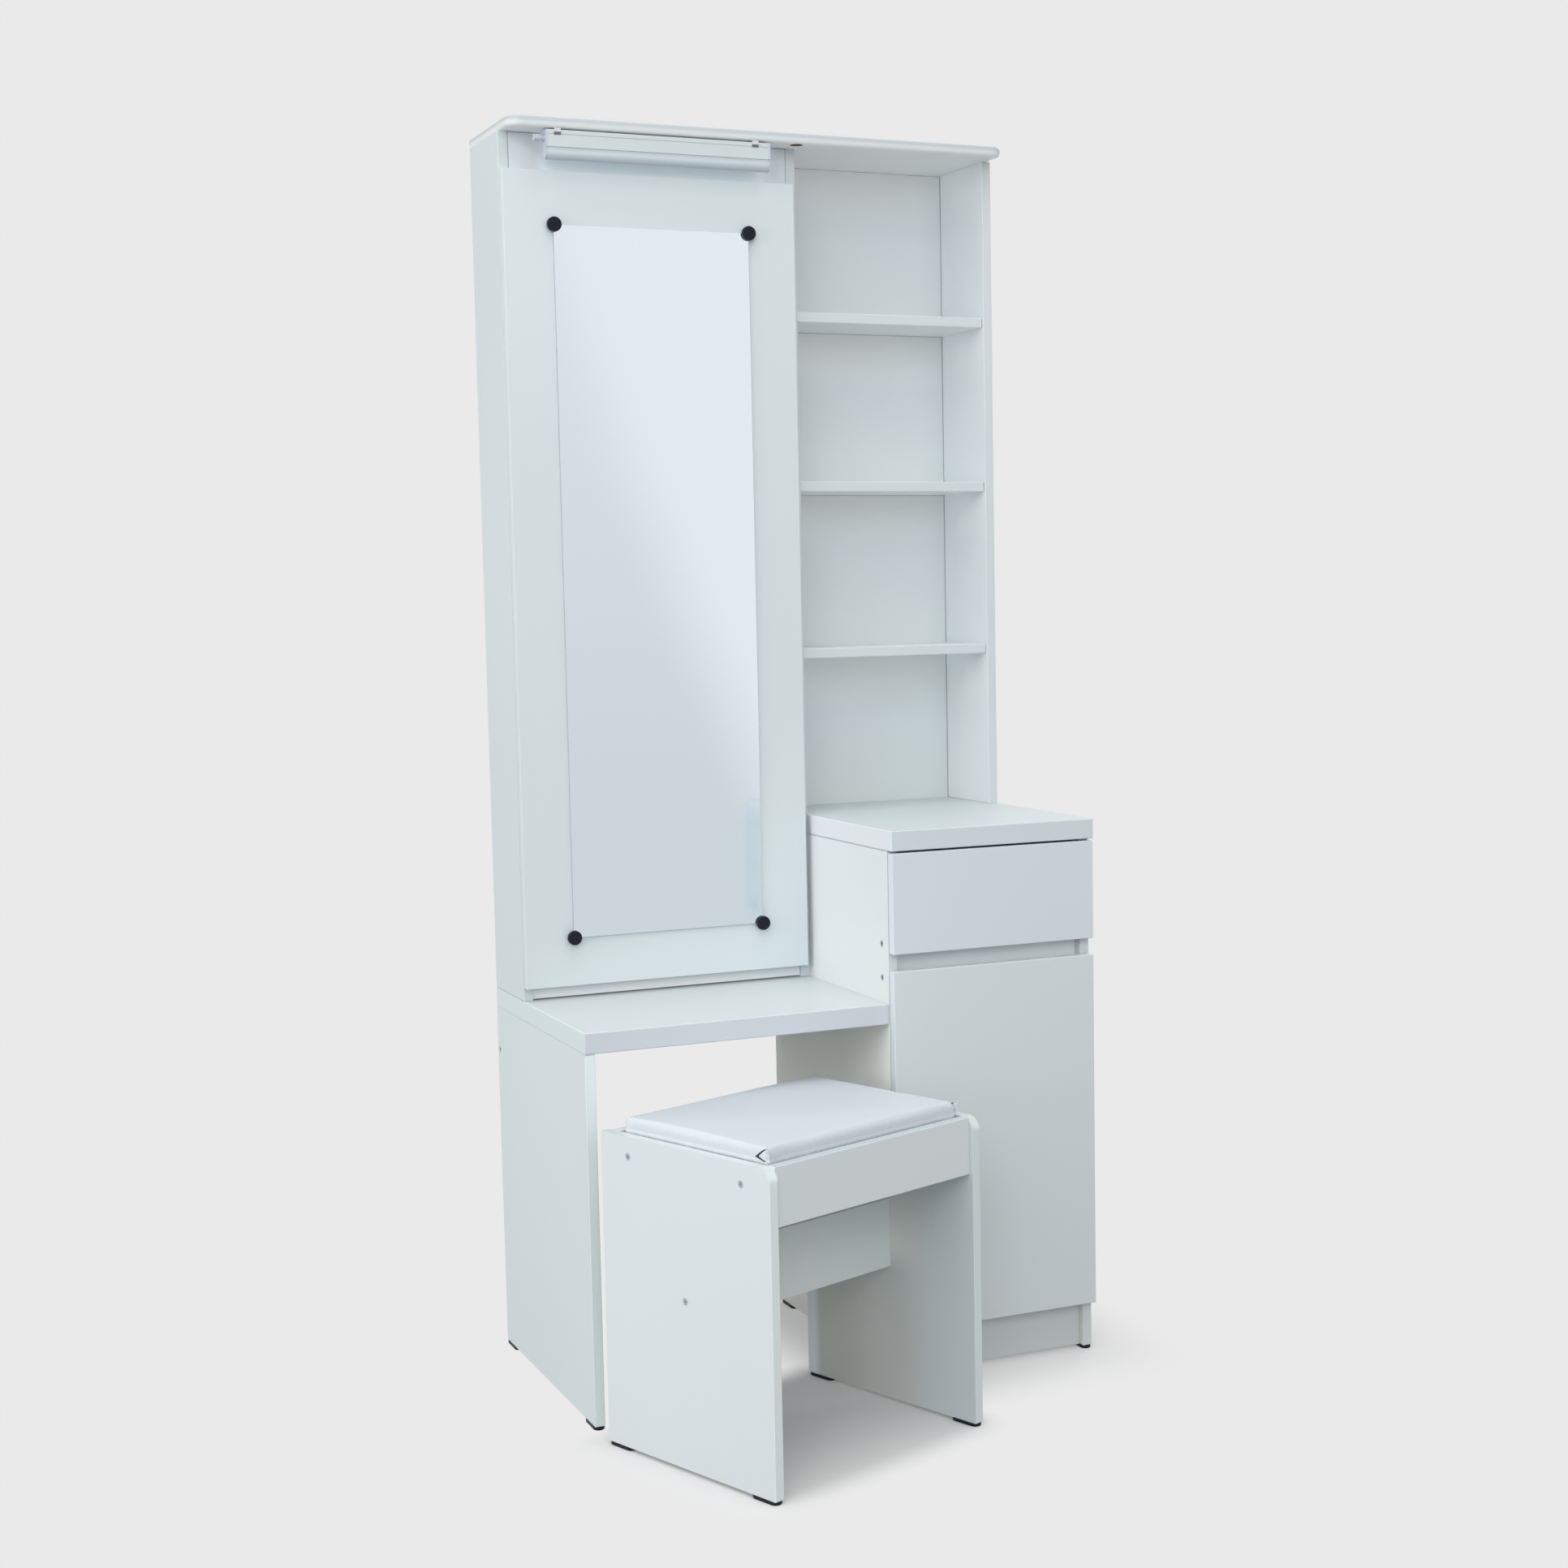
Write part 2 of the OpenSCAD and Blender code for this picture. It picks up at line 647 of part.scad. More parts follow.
// Lamp. Its profiles are drawn with x along the unit's depth and y up.
module along_lamp(from, to) {
    translate([lamp_in + from, lamp_y, lamp_low]) rotate([90, 0, 90]) linear_extrude(to - from)
        children();
}

module housing_outline() {
    square([lamp_d, lamp_h - 1.5]);
    translate([1.5, 0]) square([lamp_d - 3, lamp_h]);
    for (x = [1.5, lamp_d - 1.5]) translate([x, lamp_h - 1.5]) circle(1.5, $fn = 24);
}

clip_groove = [6, 1.4, 0.7];

module diffuser_outline(in) {
    r = lamp_d / 2 - lamp_wall - 0.2 - in;
    translate([lamp_d / 2, 0]) {
        intersection() {
            translate([0, r - diffuser_drop + in]) circle(r);
            translate([-r, -diffuser_drop]) square([2 * r, r]);
        }
        translate([-r, r - diffuser_drop + in]) square([2 * r, diffuser_drop - r - in + lamp_recess - 1.5]);
    }
}

module lamp_housing() color("white") placed() along_lamp(0, lamp_l) difference() {
    housing_outline();
    translate([lamp_wall, lamp_recess + lamp_wall])
        square([lamp_d - 2 * lamp_wall, lamp_h - lamp_recess - 2 * lamp_wall]);
    translate([lamp_wall, -see]) square([lamp_d - 2 * lamp_wall, lamp_recess + see]);
    for (x = [-see, lamp_d - clip_groove[2]])
        translate([x, lamp_h - clip_groove[0] - clip_groove[1]])
            square([clip_groove[2] + see, clip_groove[1]]);
}

module lamp_diffuser() color("whitesmoke") placed() along_lamp(0, lamp_l) difference() {
    diffuser_outline(0);
    diffuser_outline(1.2);
    translate([lamp_wall + 1.4, lamp_recess - 1.5 - 2])
        square([lamp_d - 2 * lamp_wall - 2.8, 2 + see]);
}

module lamp_led_strip() color("lightyellow") placed() {
    along_lamp(6, lamp_l - 6) translate([lamp_d / 2 - 6, lamp_recess - 1.2]) square([12, 1.2]);
}

module lamp_end_cap() {
    linear_extrude(lamp_cap_t) {
        housing_outline();
        diffuser_outline(0);
    }
}

module lamp_end_caps() color("white") placed() for (x = [-lamp_cap_t, lamp_l])
    translate([lamp_in + x, lamp_y, lamp_low]) rotate([90, 0, 90]) lamp_end_cap();

module lamp_clips() color("dimgray") placed() for (x = lamp_clip_at) {
    t = 0.8;
    along_lamp(x - 5, x + 5) {
        translate([-t, lamp_h + lamp_gap - t]) square([lamp_d + 2 * t, t]);
        for (side = [0, 1]) translate([side * lamp_d, 0]) mirror([side, 0]) {
            translate([-t, lamp_h - clip_groove[0] - 1.2]) square([t, clip_groove[0] + lamp_gap + 1.2]);
            translate([-t, lamp_h - clip_groove[0] - 1.2]) square([t + 0.5, 1]);
        }
    }
}

module lamp_inlet() color("white") placed()
    translate([lamp_in - lamp_cap_t, lamp_y + lamp_d / 2, lamp_top - inlet_down]) rotate([0, -90, 0]) {
        cylinder(d = inlet_neck_d, h = inlet_neck_l);
        translate([0, 0, inlet_neck_l]) rotate_extrude() {
            square([inlet_d / 2 - 1, inlet_l]);
            translate([0, 1]) square([inlet_d / 2, inlet_l - 2]);
            for (z = [1, inlet_l - 1]) translate([inlet_d / 2 - 1, z]) circle(1);
        }
    }

// Mirror door
module mirror_door_panel() color(melamine) placed() difference() {
    board([mdoor_x0, mdoor_y, mdoor_low], [mdoor_x1, mdoor_y + board_t, mdoor_top]);
    at_mirror_hinges() cup_bore(mirror_edge);
}

module mirror_glass() color("lightsteelblue") placed()
    board([mirror_x0, mdoor_y - mirror_t, mirror_z0],
        [mirror_x0 + mirror_w, mdoor_y, mirror_z0 + mirror_h], 0.6);

module mirror_clip(side, end) {
    r = clip_d / 2;
    round_r = 3;
    cylinder(r = clip_stem_r, h = mirror_t);
    translate([-side * clip_shift, -end * clip_shift, mirror_t]) rotate_extrude() {
        square([r, clip_h - round_r]);
        square([r - round_r, clip_h]);
        translate([r - round_r, clip_h - round_r]) circle(round_r);
    }
}

module mirror_clips() color(plastic_black) placed()
    for (side = [-1, 1], end = [-1, 1])
        translate([mirror_x0 + mirror_w / 2 + side * (mirror_w / 2 + clip_out), mdoor_y,
            mirror_z0 + mirror_h / 2 + end * (mirror_h / 2 + clip_out)])
            rotate([90, 0, 0]) mirror_clip(side, end);

// Cabinet door
module cabinet_door_panel() color(melamine) placed() difference() {
    board([desk_w + reveal, front_y, door_low], [unit_w - reveal, front_y + board_t, door_top]);
    at_cabinet_hinges() cup_bore(cab_edge);
}

// Drawer
module bottom_groove() {
    strip([drawer_x0 + drawer_t - groove_d, drawer_y0 - groove_d, drawer_bottom_z],
        [drawer_x1 - drawer_t + groove_d, drawer_y0 + drawer_d + see, drawer_bottom_z + back_t + 0.2]);
}

module drawer_front() color(melamine) placed() difference() {
    board([desk_w + reveal, front_y, drawer_front_low], [unit_w - reveal, front_y + board_t, drawer_front_top]);
    bottom_groove();
}

module drawer_side(x) difference() {
    strip([x, drawer_y0, drawer_low], [x + drawer_t, drawer_y0 + drawer_d, drawer_low + drawer_h]);
    bottom_groove();
}

module drawer_side_left() color(melamine) placed() drawer_side(drawer_x0);
module drawer_side_right() color(melamine) placed() drawer_side(drawer_x1 - drawer_t);

module drawer_back() color(melamine) placed()
    strip([drawer_x0 + drawer_t, drawer_y0 + drawer_d - drawer_t, drawer_bottom_z + back_t],
        [drawer_x1 - drawer_t, drawer_y0 + drawer_d, drawer_low + drawer_h]);

module drawer_bottom() color("#d8cfc0") placed()
    strip([drawer_x0 + drawer_t - groove_d + fit, drawer_y0 - groove_d + fit, drawer_bottom_z],
        [drawer_x1 - drawer_t + groove_d - fit, drawer_y0 + drawer_d, drawer_bottom_z + back_t]);

module drawer_runner() {
    web_x = drawer_x0 - sheet;
    strip([web_x, drawer_y0, drawer_low - sheet], [drawer_x0, drawer_y0 + drawer_d, lip_low + sheet]);
    strip([web_x, drawer_y0, drawer_low - sheet], [drawer_x0 + 10, drawer_y0 + drawer_d, drawer_low]);
    strip([roller_x + 1, drawer_y0, lip_low], [drawer_x0, drawer_y0 + drawer_d, lip_low + sheet]);
    translate([roller_x - 0.3, rear_roller_y, rear_roller_z]) rotate([0, 90, 0])
        cylinder(r = axle_r, h = web_x - roller_x + 0.3 + sheet / 2);
}

module drawer_runners() color(steel) placed() both_sides() drawer_runner();

// Stool
module at_stool() placed() translate([stool_x, -stool_y, 0]) rotate([0, 0, stool_turn]) children();

// Profile of a side panel, with x along the stool's depth
module stool_side_profile() {
    r = stool_corner_r;
    h = stool_h - stool_low;
    e = edge_r;
    difference() {
        rounded(stool_d, h, e);
        translate([-see, h - r]) square([r + see, r + see]);
    }
    translate([r, h - r]) intersection() {
        circle(r);
        translate([-r, 0]) square([r, r]);
    }
}

module stool_side(x) difference() {
    translate([x, 0, stool_low]) intersection() {
        rotate([90, 0, 90]) linear_extrude(board_t) stool_side_profile();
        linear_extrude(stool_h) rounded(board_t, stool_d, edge_r);
    }
    at_screws(stool_screw_places) screw_bore();
}

module stool_side_left() color(melamine) at_stool() stool_side(0);
module stool_side_right() color(melamine) at_stool() stool_side(stool_w - board_t);

module stool_rail(y) board([board_t, y, stool_h - stool_rail_h], [stool_w - board_t, y + board_t, stool_h]);
module stool_front_rail() color(melamine) at_stool() stool_rail(stool_rail_y[0]);
module stool_back_rail() color(melamine) at_stool() stool_rail(stool_rail_y[1]);

module stool_stretcher() color(melamine) at_stool() difference() {
    board([board_t, stretcher_y, stretcher_up], [stool_w - board_t, stretcher_y + board_t, stretcher_up + stretcher_h]);
    at_screws(stool_screw_places) screw_bore();
}

module stool_seat_board() color(melamine) at_stool() difference() {
    board([board_t, stool_rail_y[0] + board_t, seat_z], [stool_w - board_t, stool_rail_y[1], seat_z + board_t]);
    at_screws(stool_screw_places) screw_bore();
}

// Cushion: rings of points from its underside, up its sides, over a rounded
// shoulder and across its crowned top. Its sides draw in between the corners.
pad_a = stool_w / 2 - board_t - cushion_gap;
pad_b = (stool_rail_y[1] - stool_rail_y[0] - board_t) / 2 - cushion_gap;
pad_low = seat_z + board_t;
pad_edge_z = stool_h + cushion_rise;
pad_corner_r = 12;
pad_shoulder_r = 11;
pad_shoulder_turns = [22.5, 45, 67.5];
pad_draw = 2.5;
pad_arc = 4;
pad_run = 8;
function pad_corner(q, inset) = let (
        a = pad_a - inset, b = pad_b - inset, r = pad_corner_r - inset / 2,
        sx = [1, -1, -1, 1][q], sy = [1, 1, -1, -1][q])
    [for (i = [0:pad_arc]) let (t = 90 * q + 90 * i / pad_arc)
        [sx * (a - r) + r * cos(t), sy * (b - r) + r * sin(t)]];
function pad_side(q, inset) = let (
        from = pad_corner(q, inset)[pad_arc], to = pad_corner((q + 1) % 4, inset)[0],
        out = [cos(90 * (q + 1)), sin(90 * (q + 1))])
    [for (i = [1:pad_run - 1]) let (u = i / pad_run)
        from + (to - from) * u - out * pad_draw * sin(180 * u)];
function pad_outline(inset) = [for (q = [0:3]) each concat(pad_corner(q, inset), pad_side(q, inset))];
function pad_ring(inset, z) = [for (p = pad_outline(inset)) [p[0], p[1], z]];
function pad_crown(s) = [for (p = pad_outline(pad_shoulder_r))
    [p[0] * s, p[1] * s, pad_edge_z + cushion_crown * (1 - s * s)]];
pad_rings = concat(
    [pad_ring(2, pad_low), pad_ring(0, pad_low + 4), pad_ring(0, pad_edge_z - pad_shoulder_r)],
    [for (t = pad_shoulder_turns) pad_ring(pad_shoulder_r * (1 - cos(t)),
        pad_edge_z - pad_shoulder_r * (1 - sin(t)))],
    [for (s = [1, 0.88, 0.7, 0.45, 0.2]) pad_crown(s)]);

module stool_cushion() color("#dfe2ee") at_stool()
    translate([stool_w / 2, (stool_rail_y[0] + board_t + stool_rail_y[1]) / 2, 0]) {
        n = len(pad_rings[0]);
        m = len(pad_rings);
        points = concat([for (ring = pad_rings) each ring],
            [[0, 0, pad_low], [0, 0, pad_edge_z + cushion_crown]]);
        walls = [for (j = [0:m - 2], i = [0:n - 1]) let (k = (i + 1) % n)
            each [[j * n + i, (j + 1) * n + i, (j + 1) * n + k], [j * n + i, (j + 1) * n + k, j * n + k]]];
        floor_faces = [for (i = [0:n - 1]) [m * n, i, (i + 1) % n]];
        top_faces = [for (i = [0:n - 1]) [m * n + 1, (m - 1) * n + (i + 1) % n, (m - 1) * n + i]];
        polyhedron(points, concat(walls, floor_faces, top_faces));
    }

module stool_screws() color(steel) at_stool() at_screws(stool_screw_places) screw();

module stool_glides() color(plastic_black) at_stool()
    for (x = [0, stool_w - board_t]) translate([x, 0, 0]) glide_pair(glide_proud, stool_d);

top_panel();
hutch_side_left();
hutch_divider();
hutch_side_right();
hutch_bottom();
lamp_fascia();
hutch_back_left();
hutch_back_right();
hutch_brace();
open_shelf(1);  // open_shelf_lower
open_shelf(2);  // open_shelf_middle
open_shelf(3);  // open_shelf_upper
inner_shelf_boards();  // inner_shelves
desk_top();
leg_panel();
desk_back_rail();
cabinet_side_left();
cabinet_side_right();
cabinet_top();
cabinet_bottom();
plinth();
finger_rail();
cabinet_shelf();
cabinet_back();
shelf_pins();
shelf_dowels();
unit_screws();
unit_glides();
runner_rails();
mirror_hinge_arms();
cabinet_hinge_arms();
lamp_housing();
lamp_diffuser();
lamp_end_caps();
lamp_clips();
lamp_led_strip();
lamp_inlet();
mirror_door_panel();
mirror_glass();
mirror_clips();
mirror_hinge_cups();
cabinet_door_panel();
cabinet_hinge_cups();
drawer_front();
drawer_side_left();
drawer_side_right();
drawer_back();
drawer_bottom();
drawer_runners();
front_rollers();
rear_rollers();
stool_side_left();
stool_side_right();
stool_front_rail();
stool_back_rail();
stool_stretcher();
stool_seat_board();
stool_cushion();
stool_screws();
stool_glides();
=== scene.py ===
# %% [markdown]
# # A dressing table with its stool
#
# The real object is flat-pack furniture: melamine boards screwed together, a
# mirror held on a door by four clips, a small tube lamp, and a stool with a
# padded seat. The boards were drawn in CAD, so their shapes are right already.
# This lesson gives them their finishes, adds the soft and small pieces that
# CAD leaves plain, and lights the whole like a studio photograph.

import math

import bmesh
import bpy
from mathutils import Matrix, Vector
from mathutils.bvhtree import BVHTree


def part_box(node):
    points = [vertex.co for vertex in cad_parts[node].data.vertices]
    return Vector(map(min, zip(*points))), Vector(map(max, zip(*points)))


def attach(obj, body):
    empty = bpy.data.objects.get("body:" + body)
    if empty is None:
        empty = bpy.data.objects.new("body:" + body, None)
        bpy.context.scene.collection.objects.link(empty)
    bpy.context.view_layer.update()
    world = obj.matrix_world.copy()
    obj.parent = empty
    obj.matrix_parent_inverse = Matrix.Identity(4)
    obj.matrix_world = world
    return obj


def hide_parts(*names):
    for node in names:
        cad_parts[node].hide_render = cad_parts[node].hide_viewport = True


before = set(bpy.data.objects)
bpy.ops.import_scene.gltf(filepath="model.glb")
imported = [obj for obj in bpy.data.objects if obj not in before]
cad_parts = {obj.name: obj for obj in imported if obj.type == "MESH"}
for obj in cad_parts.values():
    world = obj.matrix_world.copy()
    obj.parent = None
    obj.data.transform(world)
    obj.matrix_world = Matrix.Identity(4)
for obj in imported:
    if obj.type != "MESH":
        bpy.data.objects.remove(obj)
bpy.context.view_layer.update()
scene = bpy.context.scene
print("CAD nodes:", len(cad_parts))

# %% [markdown]
# ## Two rulers
#
# Furniture is measured in millimetres from its own corner. Blender works in
# metres, and this model's origin is in the middle of the floor. One small
# function turns the first into the second. The stool stands at an angle, so
# it gets a ruler of its own, measured from its front left corner.

# %% Rulers
MM = 0.001
desk_low, desk_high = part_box("desk_top")
STOOL_TURN = math.radians(21)
STOOL_CORNER = (122.553, -806.499)


def at(x, y, z):
    """Millimetres from the unit's left side, its back and the floor."""
    return Vector((desk_low.x + x * MM, desk_high.y + y * MM, z * MM))


def on_stool(x, y, z):
    """Millimetres from the stool's front left corner, along its own sides."""
    c, s = math.cos(STOOL_TURN), math.sin(STOOL_TURN)
    return at(STOOL_CORNER[0] + x * c - y * s, STOOL_CORNER[1] + x * s + y * c, z)


print("unit's back left corner:", tuple(round(v, 4) for v in at(0, 0, 0)))

# %% [markdown]
# ## The camera
#
# The photograph was taken from the left at chest height. Its place and turn
# were worked out from the edges of the boards. A camera looks along its own
# -Z, so its matrix is built from where right, up and back point.

# %% Camera
PHOTO_SIDE = 1932
FOCAL_PIXELS = 2896.89
LENS_MIDDLE = (1036.84, 1004.93)
CAMERA_PLACE = (-970.67, -3509.25, 1170.05)
YAW, PITCH, ROLL = (math.radians(a) for a in (23.98, -5.52, -1.03))


def camera_turn():
    """Where the camera's right, up and back point, as a matrix."""
    ahead = Vector((
        math.cos(PITCH) * math.sin(YAW),
        math.cos(PITCH) * math.cos(YAW),
        math.sin(PITCH),
    ))
    level = Vector((math.cos(YAW), -math.sin(YAW), 0))
    upright = level.cross(ahead)
    right = math.cos(ROLL) * level + math.sin(ROLL) * upright
    up = math.cos(ROLL) * upright - math.sin(ROLL) * level
    return Matrix((right, up, -ahead)).transposed().to_4x4()


lens = bpy.data.cameras.new("photo_camera")
lens.sensor_width = 36.0
lens.lens = FOCAL_PIXELS / PHOTO_SIDE * lens.sensor_width
lens.shift_x = (PHOTO_SIDE / 2 - LENS_MIDDLE[0]) / PHOTO_SIDE
lens.shift_y = (LENS_MIDDLE[1] - PHOTO_SIDE / 2) / PHOTO_SIDE
camera = bpy.data.objects.new("photo_camera", lens)
scene.collection.objects.link(camera)
camera.matrix_world = Matrix.Translation(at(*CAMERA_PLACE)) @ camera_turn()
scene.camera = camera
print("lens in mm:", round(lens.lens, 2))

# %% [markdown]
# ## Writing shaders as sums
#
# A node tree is easier to read as an expression. `Wire` wraps one socket, so
# that `1 - mask * 0.2` adds the Math nodes by itself, and `Recipe.add` makes
# any other node from its type, its settings and its inputs.

# %% Shader helpers
class Wire:
    """An output socket that can be used in sums."""

    def __init__(self, recipe, socket):
        self.recipe, self.socket = recipe, socket

    def __add__(self, other):
        return self.recipe.maths("ADD", self, other)

    def __sub__(self, other):
        return self.recipe.maths("SUBTRACT", self, other)

    def __rsub__(self, other):
        return self.recipe.maths("SUBTRACT", other, self)

    def __mul__(self, other):
        return self.recipe.maths("MULTIPLY", self, other)

    __radd__, __rmul__ = __add__, __mul__


class Recipe:
    """A node tree, and the one way to add a node to it."""

    def __init__(self, tree):
        self.tree = tree

    def add(self, kind, settings=None, inputs=None, out=0):
        node = self.tree.nodes.new(kind)
        for name, value in (settings or {}).items():
            setattr(node, name, value)
        for name, value in (inputs or {}).items():
            self.feed(node.inputs[name], value)
        return Wire(self, node.outputs[out])

    def feed(self, socket, value):
        if isinstance(value, Wire):
            self.tree.links.new(value.socket, socket)
        else:
            socket.default_value = value

    def maths(self, operation, *parts):
        return self.add("ShaderNodeMath", {"operation": operation}, dict(enumerate(parts)))

    def mix(self, factor, low, high):
        """A colour between two others. Sockets 6 and 7 are the colour ones."""
        colours = {0: factor, 6: low, 7: high}
        return self.add("ShaderNodeMix", {"data_type": "RGBA"}, colours, out=2)

    def place(self):
        """Where a point is on the object, in metres."""
        return self.add("ShaderNodeTexCoord", out=3)

    def axis(self, name, source=None):
        split = "XYZ".index(name)
        return self.add("ShaderNodeSeparateXYZ", None, {0: source or self.place()}, out=split)

    def stretched(self, *scale):
        """Where a point is, with a scale of its own for each axis."""
        return self.add("ShaderNodeMapping", None, {"Vector": self.place(), "Scale": scale})

    def noise(self, scale, detail=2.0, roughness=0.5, source=None):
        inputs = {"Scale": scale, "Detail": detail, "Roughness": roughness}
        return self.add("ShaderNodeTexNoise", None, {"Vector": source or self.place(), **inputs})

    def step(self, value, low, high):
        """0 below low, 1 above high, and a soft step between."""
        return self.add(
            "ShaderNodeMapRange",
            {"interpolation_type": "SMOOTHSTEP"},
            {0: value, 1: low, 2: high, 3: 0.0, 4: 1.0},
        )

    def fall(self, value, low, high):
        """1 below low, 0 above high, and a soft step between."""
        return 1 - self.step(value, low, high)

    def bump(self, height, depth, strength=1.0):
        inputs = {"Height": height, "Distance": depth, "Strength": strength}
        return self.add("ShaderNodeBump", None, inputs)


def rgb(red, green, blue):
    """Screen colour numbers, 0 to 255, as the linear light that nodes want."""
    return tuple(
        (c / 12.92 if c <= 0.04045 else ((c + 0.055) / 1.055) ** 2.4)
        for c in (red / 255, green / 255, blue / 255)
    )


def rgba(*screen):
    return (*rgb(*screen), 1.0)


def darker(colour, by):
    """A screen colour some steps down, ready for a node."""
    return rgba(*(max(0, c - by) for c in colour))


DARK = (0.0, 0.0, 0.0, 1.0)


class Finish(Recipe):
    """A material with one Principled shader. Plain values go on its sockets."""

    def __init__(self, name, **sockets):
        self.material = bpy.data.materials.new(name)
        self.material.use_nodes = True
        super().__init__(self.material.node_tree)
        self.shader = self.tree.nodes["Principled BSDF"]
        self.set(**sockets)

    def set(self, **sockets):
        for name, value in sockets.items():
            self.feed(self.shader.inputs[name.replace("_", " ")], value)
        return self

    def painted(self):
        """The base colour as it is so far."""
        return Wire(self, self.shader.inputs["Base Color"].links[0].from_socket)

    def glow(self, mask, light):
        """A faint painted glow where a mask is 1, though the thing is no lamp."""
        self.set(Emission_Color=self.mix(mask, DARK, light), Emission_Strength=1.0)


print("shader helpers ready")

# %% [markdown]
# ## The stage
#
# A seamless studio sweep looks like one pale colour, with only a soft shadow
# where the furniture stands. The world shows that colour to the camera and in
# reflections, and lights the scene at its own level. Near the furniture the
# floor is really lit, so it holds the shadow, and further out it blends into
# the backdrop's colour.

# %% World
BACKDROP = rgba(234, 234, 234)
SKY = (1.0, 1.0, 1.0, 1.0)
SKY_LIGHT = 0.496

world = bpy.data.worlds.new("studio")
world.use_nodes = True
scene.world = world


def seen_directly(recipe):
    """1 for what the camera, a mirror or glass sees, 0 for light on surfaces."""
    ray = recipe.tree.nodes.new("ShaderNodeLightPath")
    seen = Wire(recipe, ray.outputs["Is Camera Ray"])
    for name in ("Is Glossy Ray", "Is Transmission Ray"):
        seen = seen + Wire(recipe, ray.outputs[name])
    return recipe.maths("MINIMUM", seen, 1.0)


sky = Recipe(world.node_tree)
sky.tree.nodes.clear()
lighting = sky.add("ShaderNodeBackground", None, {"Color": SKY, "Strength": SKY_LIGHT})
backdrop = sky.add("ShaderNodeBackground", None, {"Color": BACKDROP, "Strength": 1.0})
seen = sky.add("ShaderNodeMixShader", None, {0: seen_directly(sky), 1: lighting, 2: backdrop})
world_out = sky.tree.nodes.new("ShaderNodeOutputWorld")
sky.feed(world_out.inputs["Surface"], seen)
print("world:", world.name)

# %% [markdown]
# The floor's shadow is shown near two rectangles on it, the cabinet's and the
# stool's. Each is given by its front left corner and its size in millimetres,
# and fades out over a reach in metres.

# %% Floor
FLOOR_TONE = (0.717, 0.717, 0.717, 1.0)
FLOOR_BOUNCE = 0.36
FLOOR_REACH = 14.0
UNIT_FOOT = ((450.0, -456.5), (335.0, 456.5))
STOOL_FOOT = ((113.6, -783.2), (380.0, 295.0))
UNIT_SHADOW, STOOL_SHADOW = 0.17, 0.075
# Painted light: near the cabinet a share of the backdrop's glow is mixed into the lit floor, which
# lightens its shadow.
GLOW_BY_UNIT = 0.3


def turned_place(recipe, corner, turn):
    """Where a point is from a corner on the floor, along turned axes."""
    return recipe.add(
        "ShaderNodeMapping",
        {"vector_type": "TEXTURE"},
        {"Vector": recipe.place(), "Location": at(*corner, 0), "Rotation": (0.0, 0.0, turn)},
    )


def outside_span(recipe, value, length):
    """How far a value lies outside 0 to length, in metres."""
    reach = recipe.maths("ABSOLUTE", value - length / 2) - length / 2
    return recipe.maths("MAXIMUM", reach, 0.0)


def from_footprint(recipe, corner, size, turn):
    """Distance from a rectangle on the floor, in metres."""
    own = turned_place(recipe, corner, turn)
    dx = outside_span(recipe, recipe.axis("X", own), size[0] * MM)
    dy = outside_span(recipe, recipe.axis("Y", own), size[1] * MM)
    return recipe.maths("SQRT", dx * dx + dy * dy)


def floor_finish():
    """Lit near the furniture, the backdrop's colour further out."""
    finish = Finish("studio_floor", Roughness=0.9, Specular_IOR_Level=0.1)
    finish.set(Base_Color=FLOOR_TONE)
    near_unit = from_footprint(finish, *UNIT_FOOT, 0.0)
    near_stool = from_footprint(finish, *STOOL_FOOT, STOOL_TURN)
    clear_of_unit = finish.step(near_unit, 0.0, UNIT_SHADOW)
    away = GLOW_BY_UNIT + (1 - GLOW_BY_UNIT) * clear_of_unit
    away = away * finish.step(near_stool, 0.0, STOOL_SHADOW)
    lit = Wire(finish, finish.shader.outputs[0])
    glow = finish.add("ShaderNodeEmission", None, {"Color": BACKDROP, "Strength": 1.0})
    bounce = finish.add("ShaderNodeEmission", None, {"Color": SKY, "Strength": FLOOR_BOUNCE})
    shown = finish.add("ShaderNodeMixShader", None, {0: away, 1: lit, 2: glow})
    choice = {0: seen_directly(finish), 1: bounce, 2: shown}
    whole = finish.add("ShaderNodeMixShader", None, choice)
    finish.feed(finish.tree.nodes["Material Output"].inputs["Surface"], whole)
    return finish.material


bm = bmesh.new()
bmesh.ops.create_grid(bm, x_segments=2, y_segments=2, size=FLOOR_REACH)
floor_mesh = bpy.data.meshes.new("studio_floor")
bm.to_mesh(floor_mesh)
bm.free()
floor_mesh.materials.append(floor_finish())
floor = bpy.data.objects.new("studio_floor", floor_mesh)
scene.collection.objects.link(floor)
print("floor reaches", round(floor.dimensions.x, 1), "m")

# %% [markdown]
# ## The lamps
#
# A large softbox hangs overhead, others stand on the left and at the front
# left, and weaker ones fill in. One behind on the right keeps the back of the
# furniture out of the dark and hardly shows from the front. Large lamps give
# soft shadows, and white light lets the boards keep their own tint. Only the
# key shows in glossy surfaces, or the mirror would show a row of white squares.

# %% Lamps
# Each softbox's place, what it points at, its width in metres and its watts.
SOFTBOXES = {
    "key_softbox": ((-3.2, -2.6, 3.4), (0.0, 0.1, 0.8), 2.4, 25),
    "overhead_softbox": ((-0.3, -0.6, 4.2), (-0.1, -0.1, 0.5), 3.0, 72),
    "front_softbox": ((0.6, -4.6, 2.4), (0.0, 0.0, 0.9), 2.4, 28),
    "left_softbox": ((-4.5, -0.6, 1.5), (0.0, 0.0, 0.8), 2.0, 73),
    "front_left_softbox": ((-2.2, -4.6, 3.2), (0.0, 0.0, 0.8), 2.4, 64),
    "back_right_softbox": ((3.4, 3.2, 1.9), (0.0, 0.0, 0.9), 2.4, 60),
}


